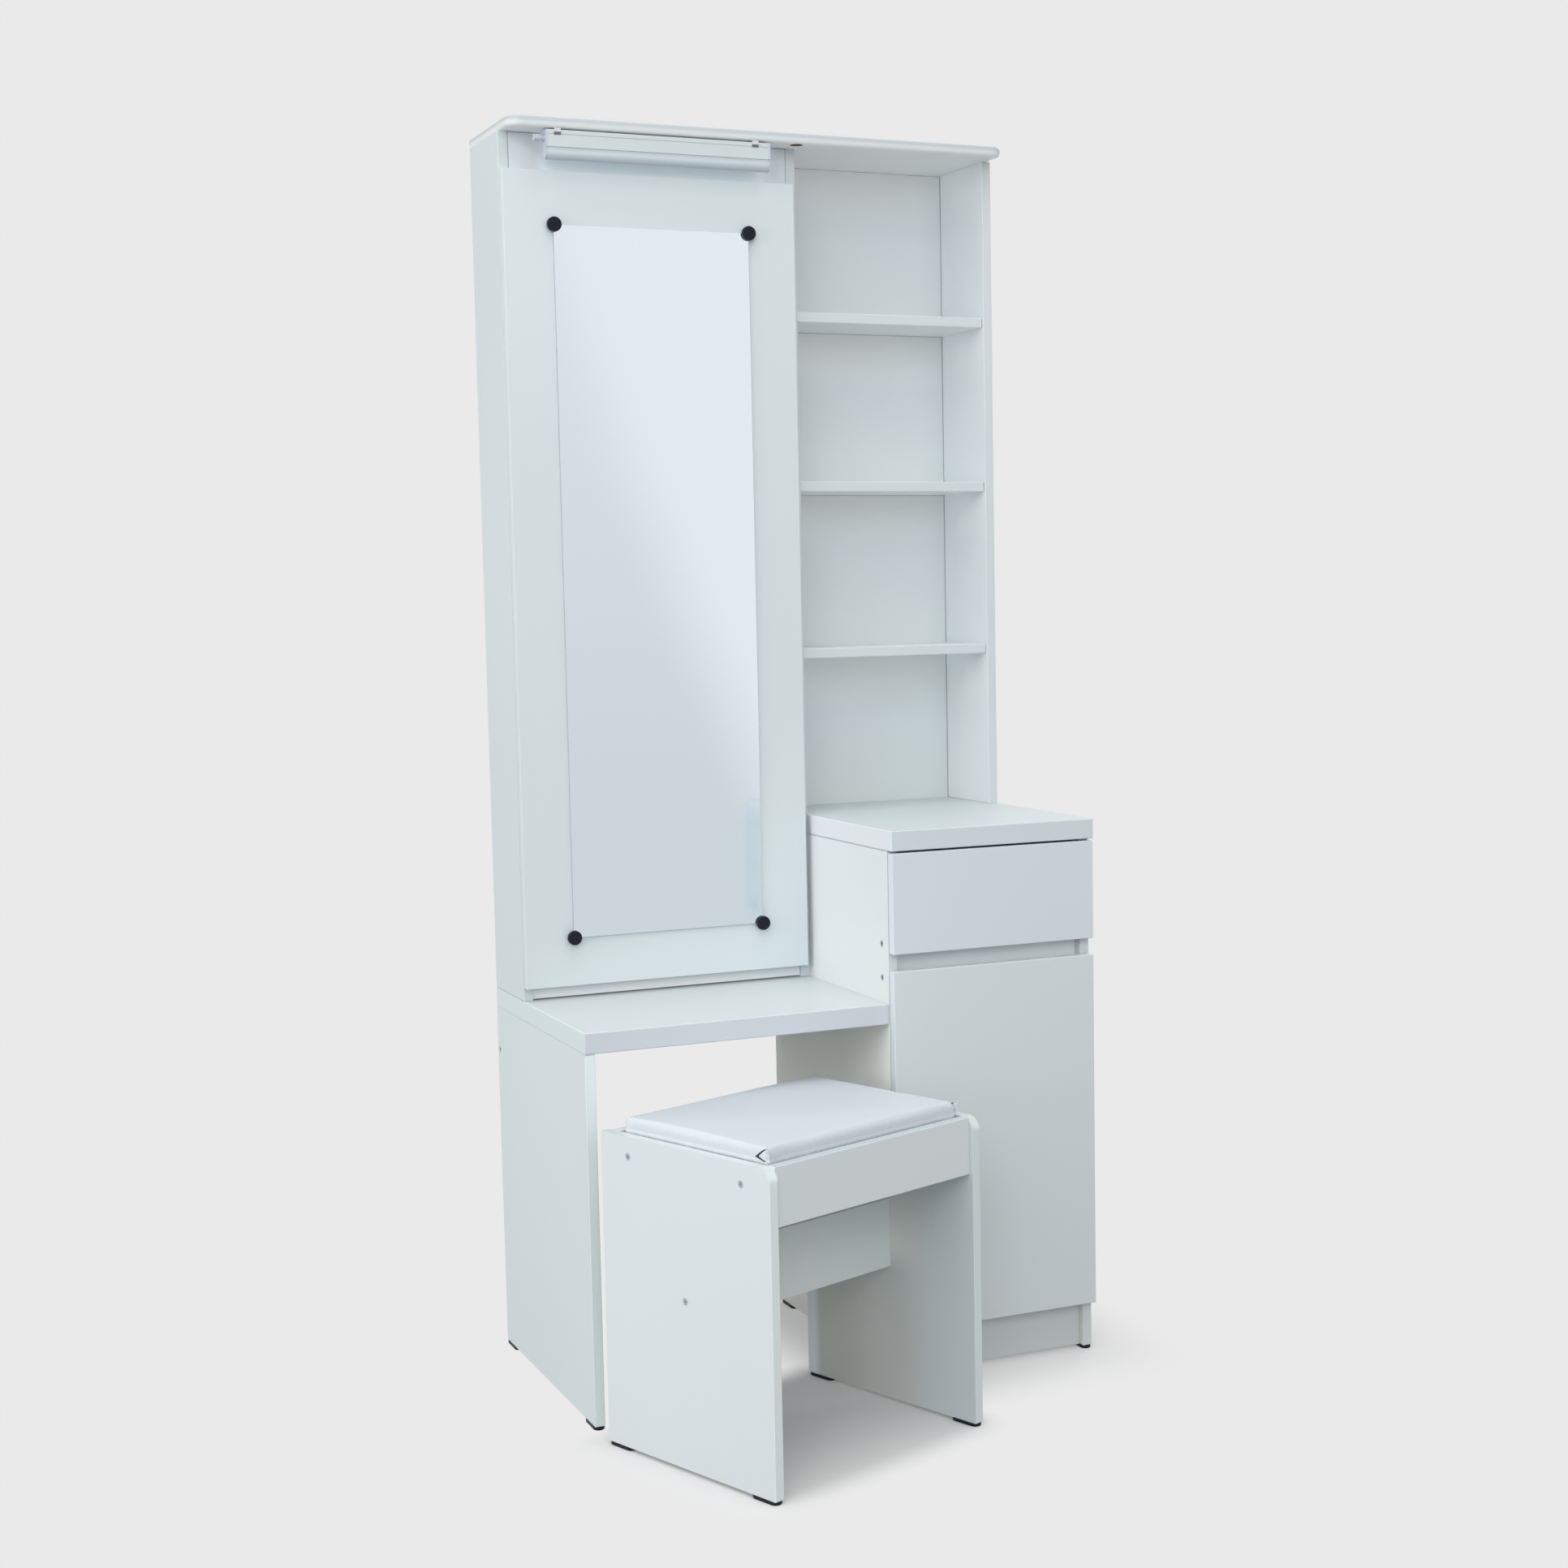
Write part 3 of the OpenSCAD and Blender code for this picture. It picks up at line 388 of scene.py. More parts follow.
def softbox(name, place, target, size, watts):
    lamp = bpy.data.lights.new(name, "AREA")
    lamp.shape, lamp.size, lamp.energy = "SQUARE", size, watts
    obj = bpy.data.objects.new(name, lamp)
    scene.collection.objects.link(obj)
    obj.location = place
    aim = Vector(target) - Vector(place)
    obj.rotation_euler = aim.to_track_quat("-Z", "Y").to_euler()
    return obj


for name, setup in SOFTBOXES.items():
    softbox(name, *setup).visible_glossy = name == "key_softbox"
print("lamps:", list(SOFTBOXES))

# %% [markdown]
# ## White melamine
#
# Melamine is printed paper pressed onto board under a steel plate with a fine
# pearl texture. It is even in colour, softly glossy, and its edges carry a
# separate tape. The finish has a very fine bump, a slow drift of colour that is
# hardly seen, and painted light and shade: a tint for faces that look to a side,
# lighter or darker as the studio light falls on them. Where two boards meet, a
# hairline of dust and shadow shows, drawn where the neighbour begins.

# %% Melamine finish
FACING = {
    "left": ("X", -1), "right": ("X", 1),
    "front": ("Y", -1), "back": ("Y", 1),
    "down": ("Z", -1), "up": ("Z", 1),
}
HAIRLINE = 0.45 * MM
JOINT_TONE = rgba(120, 126, 136)


def looks_along(finish, axis):
    """How squarely a face looks along an axis, from -1 to 1."""
    return finish.axis(axis, finish.add("ShaderNodeTexCoord", out=1))


def faces_towards(finish, side):
    """1 on faces that look to a side, and 0 on the others."""
    axis, sign = FACING[side]
    return finish.step(looks_along(finish, axis) * sign, 0.6, 0.9)


def past(finish, axis, start, end):
    """0 before one place along an axis and 1 after another, in the unit's millimetres."""
    places = [at(mm, mm, mm)["XYZ".index(axis)] for mm in (start, end)]
    return finish.step(finish.axis(axis), *places)


def hairline(finish, axis, place, width=HAIRLINE):
    """1 within a hair's breadth of a plane across one axis."""
    off = finish.maths("ABSOLUTE", finish.axis(axis) - place)
    return finish.fall(off, width, width * 2)


def melamine(name, face, side_light_tints=None, joints=(), drift=2):
    """White board. Painted light and shade: faces that look to a side get a tint."""
    finish = Finish(name, IOR=1.46)
    point = finish.place()
    cloud = finish.step(finish.noise(2.3, 2.0, source=point), 0.3, 0.7)
    pearl = finish.noise(1400, 1.0, source=point)
    soft = finish.noise(160, 2.0, source=point)
    tone = finish.mix(cloud, rgba(*face), darker(face, drift))
    # Painted light and shade: a face that looks to a side gets its own tint.
    for side, tint in (side_light_tints or {}).items():
        tone = finish.mix(faces_towards(finish, side), tone, rgba(*tint))
    for side, axis, place in joints:
        line = hairline(finish, axis, place) * faces_towards(finish, side)
        tone = finish.mix(line * 0.8, tone, JOINT_TONE)
    finish.set(Base_Color=tone, Roughness=0.34 + 0.08 * soft)
    finish.set(Normal=finish.bump(pearl, 0.00008, 0.35))
    return finish


def repaint(finish, mask, tint):
    """Change a finish's colour to a tint where a mask is 1."""
    finish.set(Base_Color=finish.mix(mask, finish.painted(), rgba(*tint)))


print("board sides:", list(FACING))

# %% [markdown]
# Each board's colour has the studio light and shade painted into it: boards
# that face the lamps on the left are painted cooler, and those that stand in
# the alcoves a little paler. A row below has the painted tint of all faces,
# then those of single sides, then the hairlines, each a little inside the end
# of a board.

# %% Board finishes
def top(node):
    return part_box(node)[1]


def low(node):
    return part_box(node)[0]


def seam(side, axis, node, end, gap=0.6):
    """A hairline on one side, some way in from one end of a board."""
    edge = getattr(end(node), axis.lower())
    return side, axis, edge + (gap if end is low else -gap) * MM


BOARD_LOOKS = {
    "outer_board": ((207, 217, 220), {"front": (205, 216, 215)}, [
        seam("left", "Z", "hutch_side_left", top),
        seam("left", "Z", "hutch_side_left", low, 0.5),
    ]),
    "leg_board": ((210, 221, 223), {"front": (229, 241, 242)}, [
        seam("front", "Z", "leg_panel", top),
    ]),
    "alcove_board": ((223, 227, 229), {"front": (207, 215, 218), "down": (247, 250, 250)}, [
        seam("front", "X", "open_shelf_upper", low),
        seam("front", "X", "open_shelf_upper", top),
    ]),
    "top_board": ((209, 218, 223), {"down": (251, 253, 253)}),
    "fascia_board": ((215, 222, 226), None, [
        seam("front", "X", "lamp_fascia", low),
        seam("front", "X", "lamp_fascia", top),
        seam("front", "Z", "lamp_fascia", top),
    ]),
    "mirror_door_board": ((209, 218, 220),),
    # Painted light: the recess under the mirror door is painted much paler to lift its shade.
    "recess_board": ((249, 252, 253),),
    "desk_board": ((206, 213, 214), {"front": (205, 212, 219), "left": (209, 222, 225)}),
    "cabinet_top_board": ((200, 209, 210), {"front": (208, 217, 221), "left": (221, 223, 226)}),
    "cabinet_side_board": ((220, 224, 225), {"front": (213, 220, 221)}, [
        seam("left", "Z", "cabinet_side_left", top),
    ]),
    "cabinet_front_board": ((213, 221, 224),),
    # Painted light: the finger rail's recess is painted much paler to lift its shade.
    "finger_rail_board": ((242, 251, 252),),
    "drawer_front_board": ((214, 222, 227),),
    "plinth_board": ((206, 214, 214),),
    "stool_board": ((216, 224, 227), {"front": (227, 237, 238), "up": (206, 213, 215)}),
    "stool_right_board": ((208, 211, 208), {"front": (217, 228, 228)}),
    "stool_rail_board": ((218, 226, 228), {"up": (189, 199, 205)}),
    "stretcher_board": ((221, 229, 228),),
    "inner_board": ((213, 220, 221),),
}
boards = {name: melamine(name, *look) for name, look in BOARD_LOOKS.items()}
print("melamine finishes:", len(boards))

# %% [markdown]
# Little light comes to the back of the open bays and to the strip under each
# shelf, so the bay's side is painted paler there, with a faint painted glow in
# the corner under each shelf and painted shade at each bay's foot. The overhead
# lamp is too strong on the rounded edge of the top panel, so its upper half is
# painted darker and its lower half paler.

# %% Open bays and top edge
BAY_TOP, BAY_PITCH = 1835.0, 257.5
# Reaches below a shelf, in metres: the strip under it, its corner, the bay's foot.
UNDER_SHELF, CORNER_REACH, BAY_FOOT = 0.1, 0.09, (0.1, 0.26)
CORNER_LIGHT = (0.07, 0.09, 0.1, 1.0)


def below_shelf(finish):
    """How far a point is below the shelf over it, in metres."""
    down = BAY_TOP * MM - finish.axis("Z")
    return finish.maths("MODULO", down, BAY_PITCH * MM)


def paint_light_in_bay_side(finish):
    """Painted light and shade: paler at the back, under each shelf and in the lowest bay, darker
    at each bay's foot, and a faint glow in the corners.
    """
    inner = faces_towards(finish, "left") * past(finish, "X", 600, 610)
    deep = past(finish, "Y", -160, 5)
    below = below_shelf(finish)
    lowest_bay = 1 - past(finish, "Z", 1000, 1050)
    under = finish.fall(below, 0.0, UNDER_SHELF)
    repaint(finish, inner, (215, 221, 224))
    repaint(finish, inner * deep, (244, 250, 252))
    repaint(finish, inner * finish.step(below, *BAY_FOOT) * 0.2, (206, 213, 217))
    repaint(finish, inner * lowest_bay * (deep * 0.8 + 0.1), (250, 253, 253))
    repaint(finish, inner * under * (deep * 0.7 + 0.2), (253, 253, 253))
    # Painted light: a faint glow in the back corner under each shelf.
    finish.glow(inner * deep * finish.fall(below, 0.0, CORNER_REACH), CORNER_LIGHT)


def paint_light_on_top_edge(finish):
    """Painted light and shade: paler on the edge's lower half, darker on its upper half where the
    overhead lamp is too strong.
    """
    up = looks_along(finish, "Z")
    edge = finish.step(up, -0.95, -0.75) * finish.fall(up, 0.97, 0.995)
    repaint(finish, edge, (245, 250, 252))
    repaint(finish, edge * finish.step(up, -0.7, 0.5), (166, 174, 179))


paint_light_in_bay_side(boards["alcove_board"])
paint_light_on_top_edge(boards["top_board"])
print("bays of", BAY_PITCH, "mm below", BAY_TOP, "mm")

# %% [markdown]
# The hole for the lamp's cable shows the bare core of the board. The lamp's
# shadow on the boards behind it is softened by a faint painted glow on those
# boards, which stands in for light spread by its pale opal cover.

# %% Cable hole and painted glow under the lamp
CABLE_HOLE, CABLE_HOLE_RADIUS = (454.5, -182.5), 9.5 * MM
COVER_START, COVER_END = (48, 74), (400, 440)
UNDER_LAMP_GLOW = (0.168, 0.19, 0.208, 1.0)


def bare_core(finish, x, y, radius):
    """The brown chips of the board's core, inside a hole drilled down through it."""
    point = finish.place()
    middle = at(x, y, 0)
    dx, dy = finish.axis("X", point) - middle.x, finish.axis("Y", point) - middle.y
    reach = finish.maths("SQRT", dx * dx + dy * dy)
    inside = finish.fall(reach, radius + 0.1 * MM, radius + 0.3 * MM)
    flakes = finish.noise(900, 3.0, source=point)
    chips = finish.mix(flakes, rgba(84, 70, 60), rgba(140, 118, 96))
    finish.set(Base_Color=finish.mix(inside, finish.painted(), chips))


def paint_glow_under_lamp(finish, start, full, share):
    """Painted light: a faint glow on the board, standing in for light from the cover, which grows
    between two heights.
    """
    span = past(finish, "X", *COVER_START) * (1 - past(finish, "X", *COVER_END))
    finish.glow(span * past(finish, "Z", start, full) * share, UNDER_LAMP_GLOW)


bare_core(boards["top_board"], *CABLE_HOLE, CABLE_HOLE_RADIUS)
paint_glow_under_lamp(boards["fascia_board"], 1770, 1775, 1.0)
paint_glow_under_lamp(boards["mirror_door_board"], 1725, 1780, 0.35)
print("cable hole at", CABLE_HOLE, "mm")

# %% [markdown]
# The inner face of the stool's right panel lies in the shade of the seat, which
# is painted on it; the knee side of the cabinet lies in that of the desk and is
# painted paler. The tall left side gets a little more light towards its top,
# so it is painted a little darker there.

# %% Painted shade on the sides
def own_row(finish):
    """A point's place along the stool's own depth, in millimetres from its front."""
    return finish.axis("Y", turned_place(finish, STOOL_CORNER, STOOL_TURN)) * (1 / MM)


def paint_shade_under_seat(finish):
    """Painted shade on the inner face, darker towards the back and low down, with paler bands
    higher up and along the back edge.
    """
    inner = faces_towards(finish, "left")
    row = own_row(finish)
    foot = 1 - past(finish, "Z", 220, 340) * 0.8
    upper = past(finish, "Z", 190, 240)
    repaint(finish, inner, (208, 218, 221))
    repaint(finish, inner * finish.step(row, 60.0, 130.0), (208, 213, 212))
    repaint(finish, inner * finish.step(row, 80.0, 270.0) * foot, (173, 177, 172))
    repaint(finish, inner * upper * finish.step(row, 70.0, 170.0), (231, 233, 229))
    repaint(finish, inner * finish.step(row, 306.0, 322.0), (198, 208, 212))


def repaint_left_side(finish, mask, tint):
    repaint(finish, faces_towards(finish, "left") * mask, tint)


paint_shade_under_seat(boards["stool_right_board"])
knee_side, tall_side = boards["cabinet_side_board"], boards["outer_board"]
# Painted light: the knee side is paler below the desk, to lift its shade.
repaint_left_side(knee_side, 1 - past(knee_side, "Z", 545, 560), (234, 236, 230))
# Painted shade: the tall side is darker towards its top, where it gets more light.
repaint_left_side(tall_side, past(tall_side, "Z", 1250, 1700), (201, 211, 214))
print("shaded:", knee_side.material.name, tall_side.material.name)

# %% [markdown]
# ## Hardboard backs
#
# The thin backs are hardboard with a white printed face. It is flatter and a
# little greyer than melamine, and faintly mottled where the fibres show. Its
# sawn edges are bare and dark brown. In the open bays it is painted paler under
# each shelf and darker at each bay's foot, painted light and shade like the
# bay's side, and has a hairline where it meets the boards.

# %% Hardboard finish
BOARD = 15 * MM
BACK_HAIRLINE = 0.7 * MM


def hardboard():
    finish = Finish("white_hardboard", IOR=1.45)
    point = finish.place()
    fibres = finish.noise(420, 4.0, 0.6, point)
    cloud = finish.noise(14, 3.0, 0.5, point)
    below = below_shelf(finish)
    alcove = faces_towards(finish, "front") * past(finish, "X", 464, 466)
    beside = hairline(finish, "X", top("hutch_side_right").x - BOARD, BACK_HAIRLINE)
    under = alcove * finish.fall(below, BACK_HAIRLINE, BACK_HAIRLINE + 0.2 * MM)
    sawn = faces_towards(finish, "left") + faces_towards(finish, "right")
    tone = finish.mix(cloud, rgba(222, 229, 232), rgba(219, 227, 230))
    for mask, tint in (
        # Painted light and shade in the bays: paler under each shelf, darker at each bay's foot.
        (alcove * finish.fall(below, 0.0, UNDER_SHELF), rgba(250, 253, 253)),
        (alcove * finish.step(below, *BAY_FOOT) * 0.5, rgba(213, 220, 217)),
        (beside * 0.65, JOINT_TONE),
        (under * 0.5, JOINT_TONE),
        (sawn, rgba(96, 84, 72)),
    ):
        tone = finish.mix(mask, tone, tint)
    finish.set(Base_Color=tone, Roughness=0.46 + 0.1 * fibres)
    finish.set(Normal=finish.bump(fibres, 0.00015, 0.3))
    return finish.material


back_board = hardboard()
print(back_board.name)

# %% [markdown]
# ## Mirror
#
# A mirror is glass with silver behind it. As a single metallic surface it
# reflects well, and its cut edges, where no silver shows, are the grey green
# of the glass. The photograph shows a bright sheen that falls from the upper
# right, which is painted over the glass as a slow change of tint, paler towards
# the top, with a faint painted glow where the sheen is.

# %% Mirror finish
def silvered_glass():
    finish = Finish("silvered_glass", Metallic=1.0, IOR=1.5)
    near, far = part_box("mirror_glass")
    point = finish.place()
    across = (finish.axis("X", point) - near.x) * (1 / (far.x - near.x))
    above = (finish.axis("Z", point) - near.z) * (1 / (far.z - near.z))
    wander = finish.noise(3.0, 1.0, source=point) * 0.06
    # Painted reflection: a bright sheen from the upper right and a paler top, with a faint glow in
    # the sheen.
    sheen = finish.step(above + across * 0.7 + wander, 0.74, 1.14)
    front = faces_towards(finish, "front")
    tone = finish.mix(finish.step(above, 0.1, 0.85), rgba(221, 232, 239), rgba(232, 243, 248))
    tone = finish.mix(sheen, tone, rgba(246, 254, 255))
    tone = finish.mix(front, rgba(222, 232, 234), tone)
    finish.set(Base_Color=tone, Roughness=0.3 - 0.2 * front)
    finish.glow(sheen * front, (0.0, 0.016, 0.04, 1.0))
    return finish.material


mirror = silvered_glass()
print(mirror.name)

# %% [markdown]
# ## Plastics and metals
#
# The clips and glides are moulded in near-black plastic, the lamp's caps and
# the rollers in white. Each has a fine moulding texture. The small fittings
# are plated steel with a brushed drift, and the lamp's housing and the
# runners are painted sheet metal with a faint orange peel.

# %% Plastic and metal finishes
def moulded(name, colour, roughness, grain=700, depth=0.00006):
    finish = Finish(name, IOR=1.5)
    point = finish.place()
    speck = finish.noise(grain, 2.0, source=point)
    cloud = finish.noise(40, 2.0, source=point)
    finish.set(Base_Color=finish.mix(cloud, darker(colour, 6), rgba(*colour)))
    finish.set(Roughness=roughness - 0.06 + 0.12 * cloud, Normal=finish.bump(speck, depth, 0.4))
    return finish


def plated(name, colour, roughness=0.28):
    finish = Finish(name, Metallic=1.0)
    brushed = finish.noise(1.0, 3.0, source=finish.stretched(40.0, 900.0, 900.0))
    finish.set(Base_Color=finish.mix(brushed, darker(colour, 22), rgba(*colour)))
    finish.set(Roughness=roughness + 0.14 * brushed, Normal=finish.bump(brushed, 0.00003, 0.3))
    return finish.material


def opal_cover():
    """Frosted plastic, painted paler where it curves up to the housing, to lift the shade there.
    """
    finish = moulded("opal_plastic", (198, 209, 216), 0.5, 300)
    repaint(finish, past(finish, "Z", 1806, 1808.5), (216, 223, 229))
    return finish.material


black_plastic = moulded("black_plastic", (14, 20, 30), 0.4).set(IOR=1.34).material
white_plastic = moulded("white_plastic", (214, 218, 219), 0.24).material
# Painted shade: the lamp's caps are white plastic like the rollers, painted greyer.
cap_plastic = moulded("cap_plastic", (190, 199, 207), 0.4).material
opal_plastic = opal_cover()
painted_metal = moulded("painted_metal", (200, 210, 211), 0.4, 260, 0.0001).material
steel = plated("plated_steel", (206, 212, 218))
dark_steel = plated("dark_steel", (96, 96, 104), 0.4)
print("small finishes:", black_plastic.name, steel.name)

# %% [markdown]
# ## Lamp strip and beech
#
# Two hidden pieces still deserve their stuff: the white circuit strip with
# yellow diodes inside the lamp, and the beech dowels that hold the shelves.

# %% Strip and dowel finishes
DIODE_PITCH, DIODE_HALF = 16 * MM, 1.2 * MM


def diode_strip():
    finish = Finish("lamp_strip", Roughness=0.5)
    beat = finish.maths("PINGPONG", finish.axis("X"), DIODE_PITCH / 2)
    dot = finish.fall(beat, DIODE_HALF, DIODE_HALF + 0.4 * MM)
    finish.set(Base_Color=finish.mix(dot, rgba(240, 240, 236), rgba(240, 214, 90)))
    return finish.material


def beech():
    finish = Finish("beech", Roughness=0.55)
    grain = finish.noise(1.0, 3.0, source=finish.stretched(30.0, 700.0, 700.0))
    finish.set(Base_Color=finish.mix(grain, rgba(196, 158, 112), rgba(222, 188, 142)))
    finish.set(Normal=finish.bump(grain, 0.0001, 0.4))
    return finish.material


strip_finish, dowel_finish = diode_strip(), beech()
print(strip_finish.name, dowel_finish.name)

# %% [markdown]
# ## Dressing the CAD nodes
#
# Every board keeps its CAD mesh and gets its finish by name. A board that
# isn't listed stands inside and is plain white melamine.

# %% Assign finishes
BOARD_NODES = {
    "outer_board": ["hutch_side_left"],
    "leg_board": ["leg_panel"],
    "alcove_board": ["hutch_divider", "hutch_side_right",
                     "open_shelf_lower", "open_shelf_middle", "open_shelf_upper"],
    "top_board": ["top_panel"],
    "fascia_board": ["lamp_fascia"],
    "mirror_door_board": ["mirror_door_panel"],
    "recess_board": ["hutch_bottom"],
    "desk_board": ["desk_top"],
    "cabinet_top_board": ["cabinet_top"],
    "cabinet_side_board": ["cabinet_side_left", "cabinet_side_right"],
    "cabinet_front_board": ["cabinet_door_panel"],
    "finger_rail_board": ["finger_rail"],
    "drawer_front_board": ["drawer_front"],
    "plinth_board": ["plinth"],
    "stool_board": ["stool_side_left"],
    "stool_right_board": ["stool_side_right"],
    "stool_rail_board": ["stool_front_rail"],
    "stretcher_board": ["stool_stretcher"],
}
FINISHES = {
    back_board: ["hutch_back_left", "hutch_back_right", "cabinet_back", "drawer_bottom"],
    mirror: ["mirror_glass"],
    black_plastic: ["mirror_clips", "unit_glides", "stool_glides"],
    white_plastic: ["front_rollers", "rear_rollers"],
    cap_plastic: ["lamp_end_caps", "lamp_inlet"],
    opal_plastic: ["lamp_diffuser"],
    strip_finish: ["lamp_led_strip"],
    painted_metal: ["lamp_housing", "runner_rails", "drawer_runners"],
    dark_steel: ["lamp_clips"],
    dowel_finish: ["shelf_dowels"],
    steel: ["shelf_pins", "unit_screws", "stool_screws", "mirror_hinge_arms",
            "cabinet_hinge_arms", "mirror_hinge_cups", "cabinet_hinge_cups"],
}
finish_of = {node: boards[name].material for name, nodes in BOARD_NODES.items() for node in nodes}
finish_of |= {node: finish for finish, nodes in FINISHES.items() for node in nodes}


def dress(node, finish):
    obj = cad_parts[node]
    if not obj.material_slots:
        obj.data.materials.append(finish)
    for slot in obj.material_slots:
        slot.material = finish


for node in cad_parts:
    dress(node, finish_of.get(node, boards["inner_board"].material))
print("dressed", len(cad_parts), "nodes")


# %% [markdown]
# ## Turning a bmesh into a piece
#
# Each new piece is shaped in a bmesh, already in its place, and then becomes
# an object that sits at the origin and rides on the body that carries it.

# %% Piece helper
def make_piece(bm, name, finish, body, smooth_angle=35):
    bmesh.ops.recalc_face_normals(bm, faces=bm.faces)
    mesh = bpy.data.meshes.new(name)
    bm.to_mesh(mesh)
    bm.free()
    for material in finish if isinstance(finish, list) else [finish]:
        mesh.materials.append(material)
    mesh.shade_smooth()
    mesh.set_sharp_from_angle(angle=math.radians(smooth_angle))
    obj = bpy.data.objects.new(name, mesh)
    scene.collection.objects.link(obj)
    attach(obj, body)
    return obj


print("piece helper ready")

# %% [markdown]
# ## The stool's padded seat
#
# A thin foam pad is wrapped in white vinyl and stapled under the seat board.
# The cover is pulled tight, so the top is nearly flat with a soft round edge,
# and at the corners the slack is folded onto the side like an envelope.
# Foam under a tight skin behaves like a balloon under a net, so the pad is
# simulated as pressurised cloth that starts a little small, with a cap on how
# far each point may travel. What the seat board and the side panels touch is
# then pressed flat again.

# %% Pad: starting block
PAD_LOW, PAD_EDGE = 435.0, 459.0
PAD_X, PAD_Y = (15.5, 384.5), (21.5, 313.5)
PAD_START_INSET = 0.8
PAD_CORNER, PAD_SHOULDER = 3.5, 7.0


def ease(bm, edges, offset, segments):
    bmesh.ops.bevel(bm, geom=edges, offset=offset, segments=segments, profile=0.5,
                    affect="EDGES", material=-1)


def pad_block(inset):
    """A block with eased upper edges, in the stool's millimetres."""
    bm = bmesh.new()
    bmesh.ops.create_cube(bm, size=1.0)
    near = Vector((PAD_X[0] + inset, PAD_Y[0] + inset, PAD_LOW))
    far = Vector((PAD_X[1] - inset, PAD_Y[1] - inset, PAD_EDGE - inset / 2))
    for v in bm.verts:
        v.co = Vector(near[k] + (v.co[k] + 0.5) * (far[k] - near[k]) for k in range(3))
    upright = [e for e in bm.edges if abs(e.verts[0].co.z - e.verts[1].co.z) > 5]
    ease(bm, upright, PAD_CORNER, 3)
    rim = [e for e in bm.edges if all(v.co.z > far.z - 0.1 for v in e.verts)
           and len(e.link_faces) == 2 and any(abs(f.normal.z) < 0.5 for f in e.link_faces)]
    ease(bm, rim, PAD_SHOULDER, 4)
    return bm


def to_row_frame(bm):
    for v in bm.verts:
        v.co = on_stool(*v.co)


bm = pad_block(PAD_START_INSET)
to_row_frame(bm)
print("pad block:", len(bm.verts), "points")


# %% Pad: inflate it
def only(obj):
    bpy.context.view_layer.objects.active = obj
    for other in bpy.context.selected_objects:
        other.select_set(False)
    obj.select_set(True)


def inflate(obj, voxel=0.0042, pressure=4.0, frames=20, cap=0.006):
    """Swell a closed mesh as pressurised cloth, and keep the result."""
    only(obj)
    remesh = obj.modifiers.new("even_grid", "REMESH")
    remesh.mode, remesh.voxel_size = "VOXEL", voxel
    bpy.ops.object.modifier_apply(modifier=remesh.name)
    start = [v.co.copy() for v in obj.data.vertices]
    cloth = obj.modifiers.new("vinyl_skin", "CLOTH")
    cloth.settings.use_pressure = True
    cloth.settings.uniform_pressure_force = pressure
    cloth.settings.effector_weights.gravity = 0.0
    cloth.settings.tension_stiffness = 40.0
    cloth.settings.compression_stiffness = 40.0
    cloth.settings.bending_stiffness = 2.0
    for number in range(1, frames + 1):
        scene.frame_set(number)
    shaped = obj.evaluated_get(bpy.context.evaluated_depsgraph_get()).to_mesh()
    moved = [v.co.copy() for v in shaped.vertices]
    obj.evaluated_get(bpy.context.evaluated_depsgraph_get()).to_mesh_clear()
    obj.modifiers.remove(cloth)
    scene.frame_set(1)
    for v, old, new in zip(obj.data.vertices, start, moved):
        step = new - old
        v.co = old + step * min(1.0, cap / max(step.length, 1e-9))
    return obj


pad_mesh = bpy.data.meshes.new("stool_pad_cover")
bm.to_mesh(pad_mesh)
bm.free()
pad = bpy.data.objects.new("stool_pad_cover", pad_mesh)
scene.collection.objects.link(pad)
inflate(pad)
print("pad after inflating:", len(pad_mesh.vertices), "points")


# %% [markdown]
# The swollen pad is then fitted to its seat. The side panels and rails keep
# it from spreading, its underside lies flat on the seat board, and the
# upholsterer's pull leaves a low crown, fuller on the right, and a few slow
# dents in the top.

# %% Pad: fit it to the seat
CROWN = 4.5
TOP_ZONE = 4.0
DENT, DENT_ZONE = 0.35, 40.0


def from_row_frame(point):
    """A point in the stool's millimetres."""
    shift = (point - on_stool(0, 0, 0)) / MM
    c, s = math.cos(STOOL_TURN), math.sin(STOOL_TURN)
    return Vector((shift.x * c + shift.y * s, shift.y * c - shift.x * s, shift.z))


def slow_dent(x, y):
    """Slow waves left by the pull of the cover, in millimetres."""
    near_edge = min(x - PAD_X[0], PAD_X[1] - x, y - PAD_Y[0], PAD_Y[1] - y) / DENT_ZONE
    wave = math.sin(x / 41.0 + 1.3) * math.sin(y / 33.0 + 0.4) + 0.6 * math.sin((x + 2 * y) / 57.0)
    return DENT * wave * max(0.0, min(1.0, near_edge))


def fit_to_seat(obj):
    for v in obj.data.vertices:
        x, y, z = from_row_frame(v.co)
        across = 2 * (x - PAD_X[0]) / (PAD_X[1] - PAD_X[0]) - 1
        along = 2 * (y - PAD_Y[0]) / (PAD_Y[1] - PAD_Y[0]) - 1
        dome = max(0.0, 1 - across * across) * max(0.0, 1 - along * along)
        if z > PAD_EDGE - TOP_ZONE:
            z = min(z, PAD_EDGE + CROWN * dome ** (0.45 - 0.2 * across)) + slow_dent(x, y)
        x = min(max(x, PAD_X[0]), PAD_X[1])
        y = min(max(y, PAD_Y[0]), PAD_Y[1])
        v.co = on_stool(x, y, max(z, PAD_LOW))


fit_to_seat(pad)
heights = [from_row_frame(v.co).z for v in pad_mesh.vertices]
print("pad from", round(min(heights), 1), "to", round(max(heights), 1), "mm")

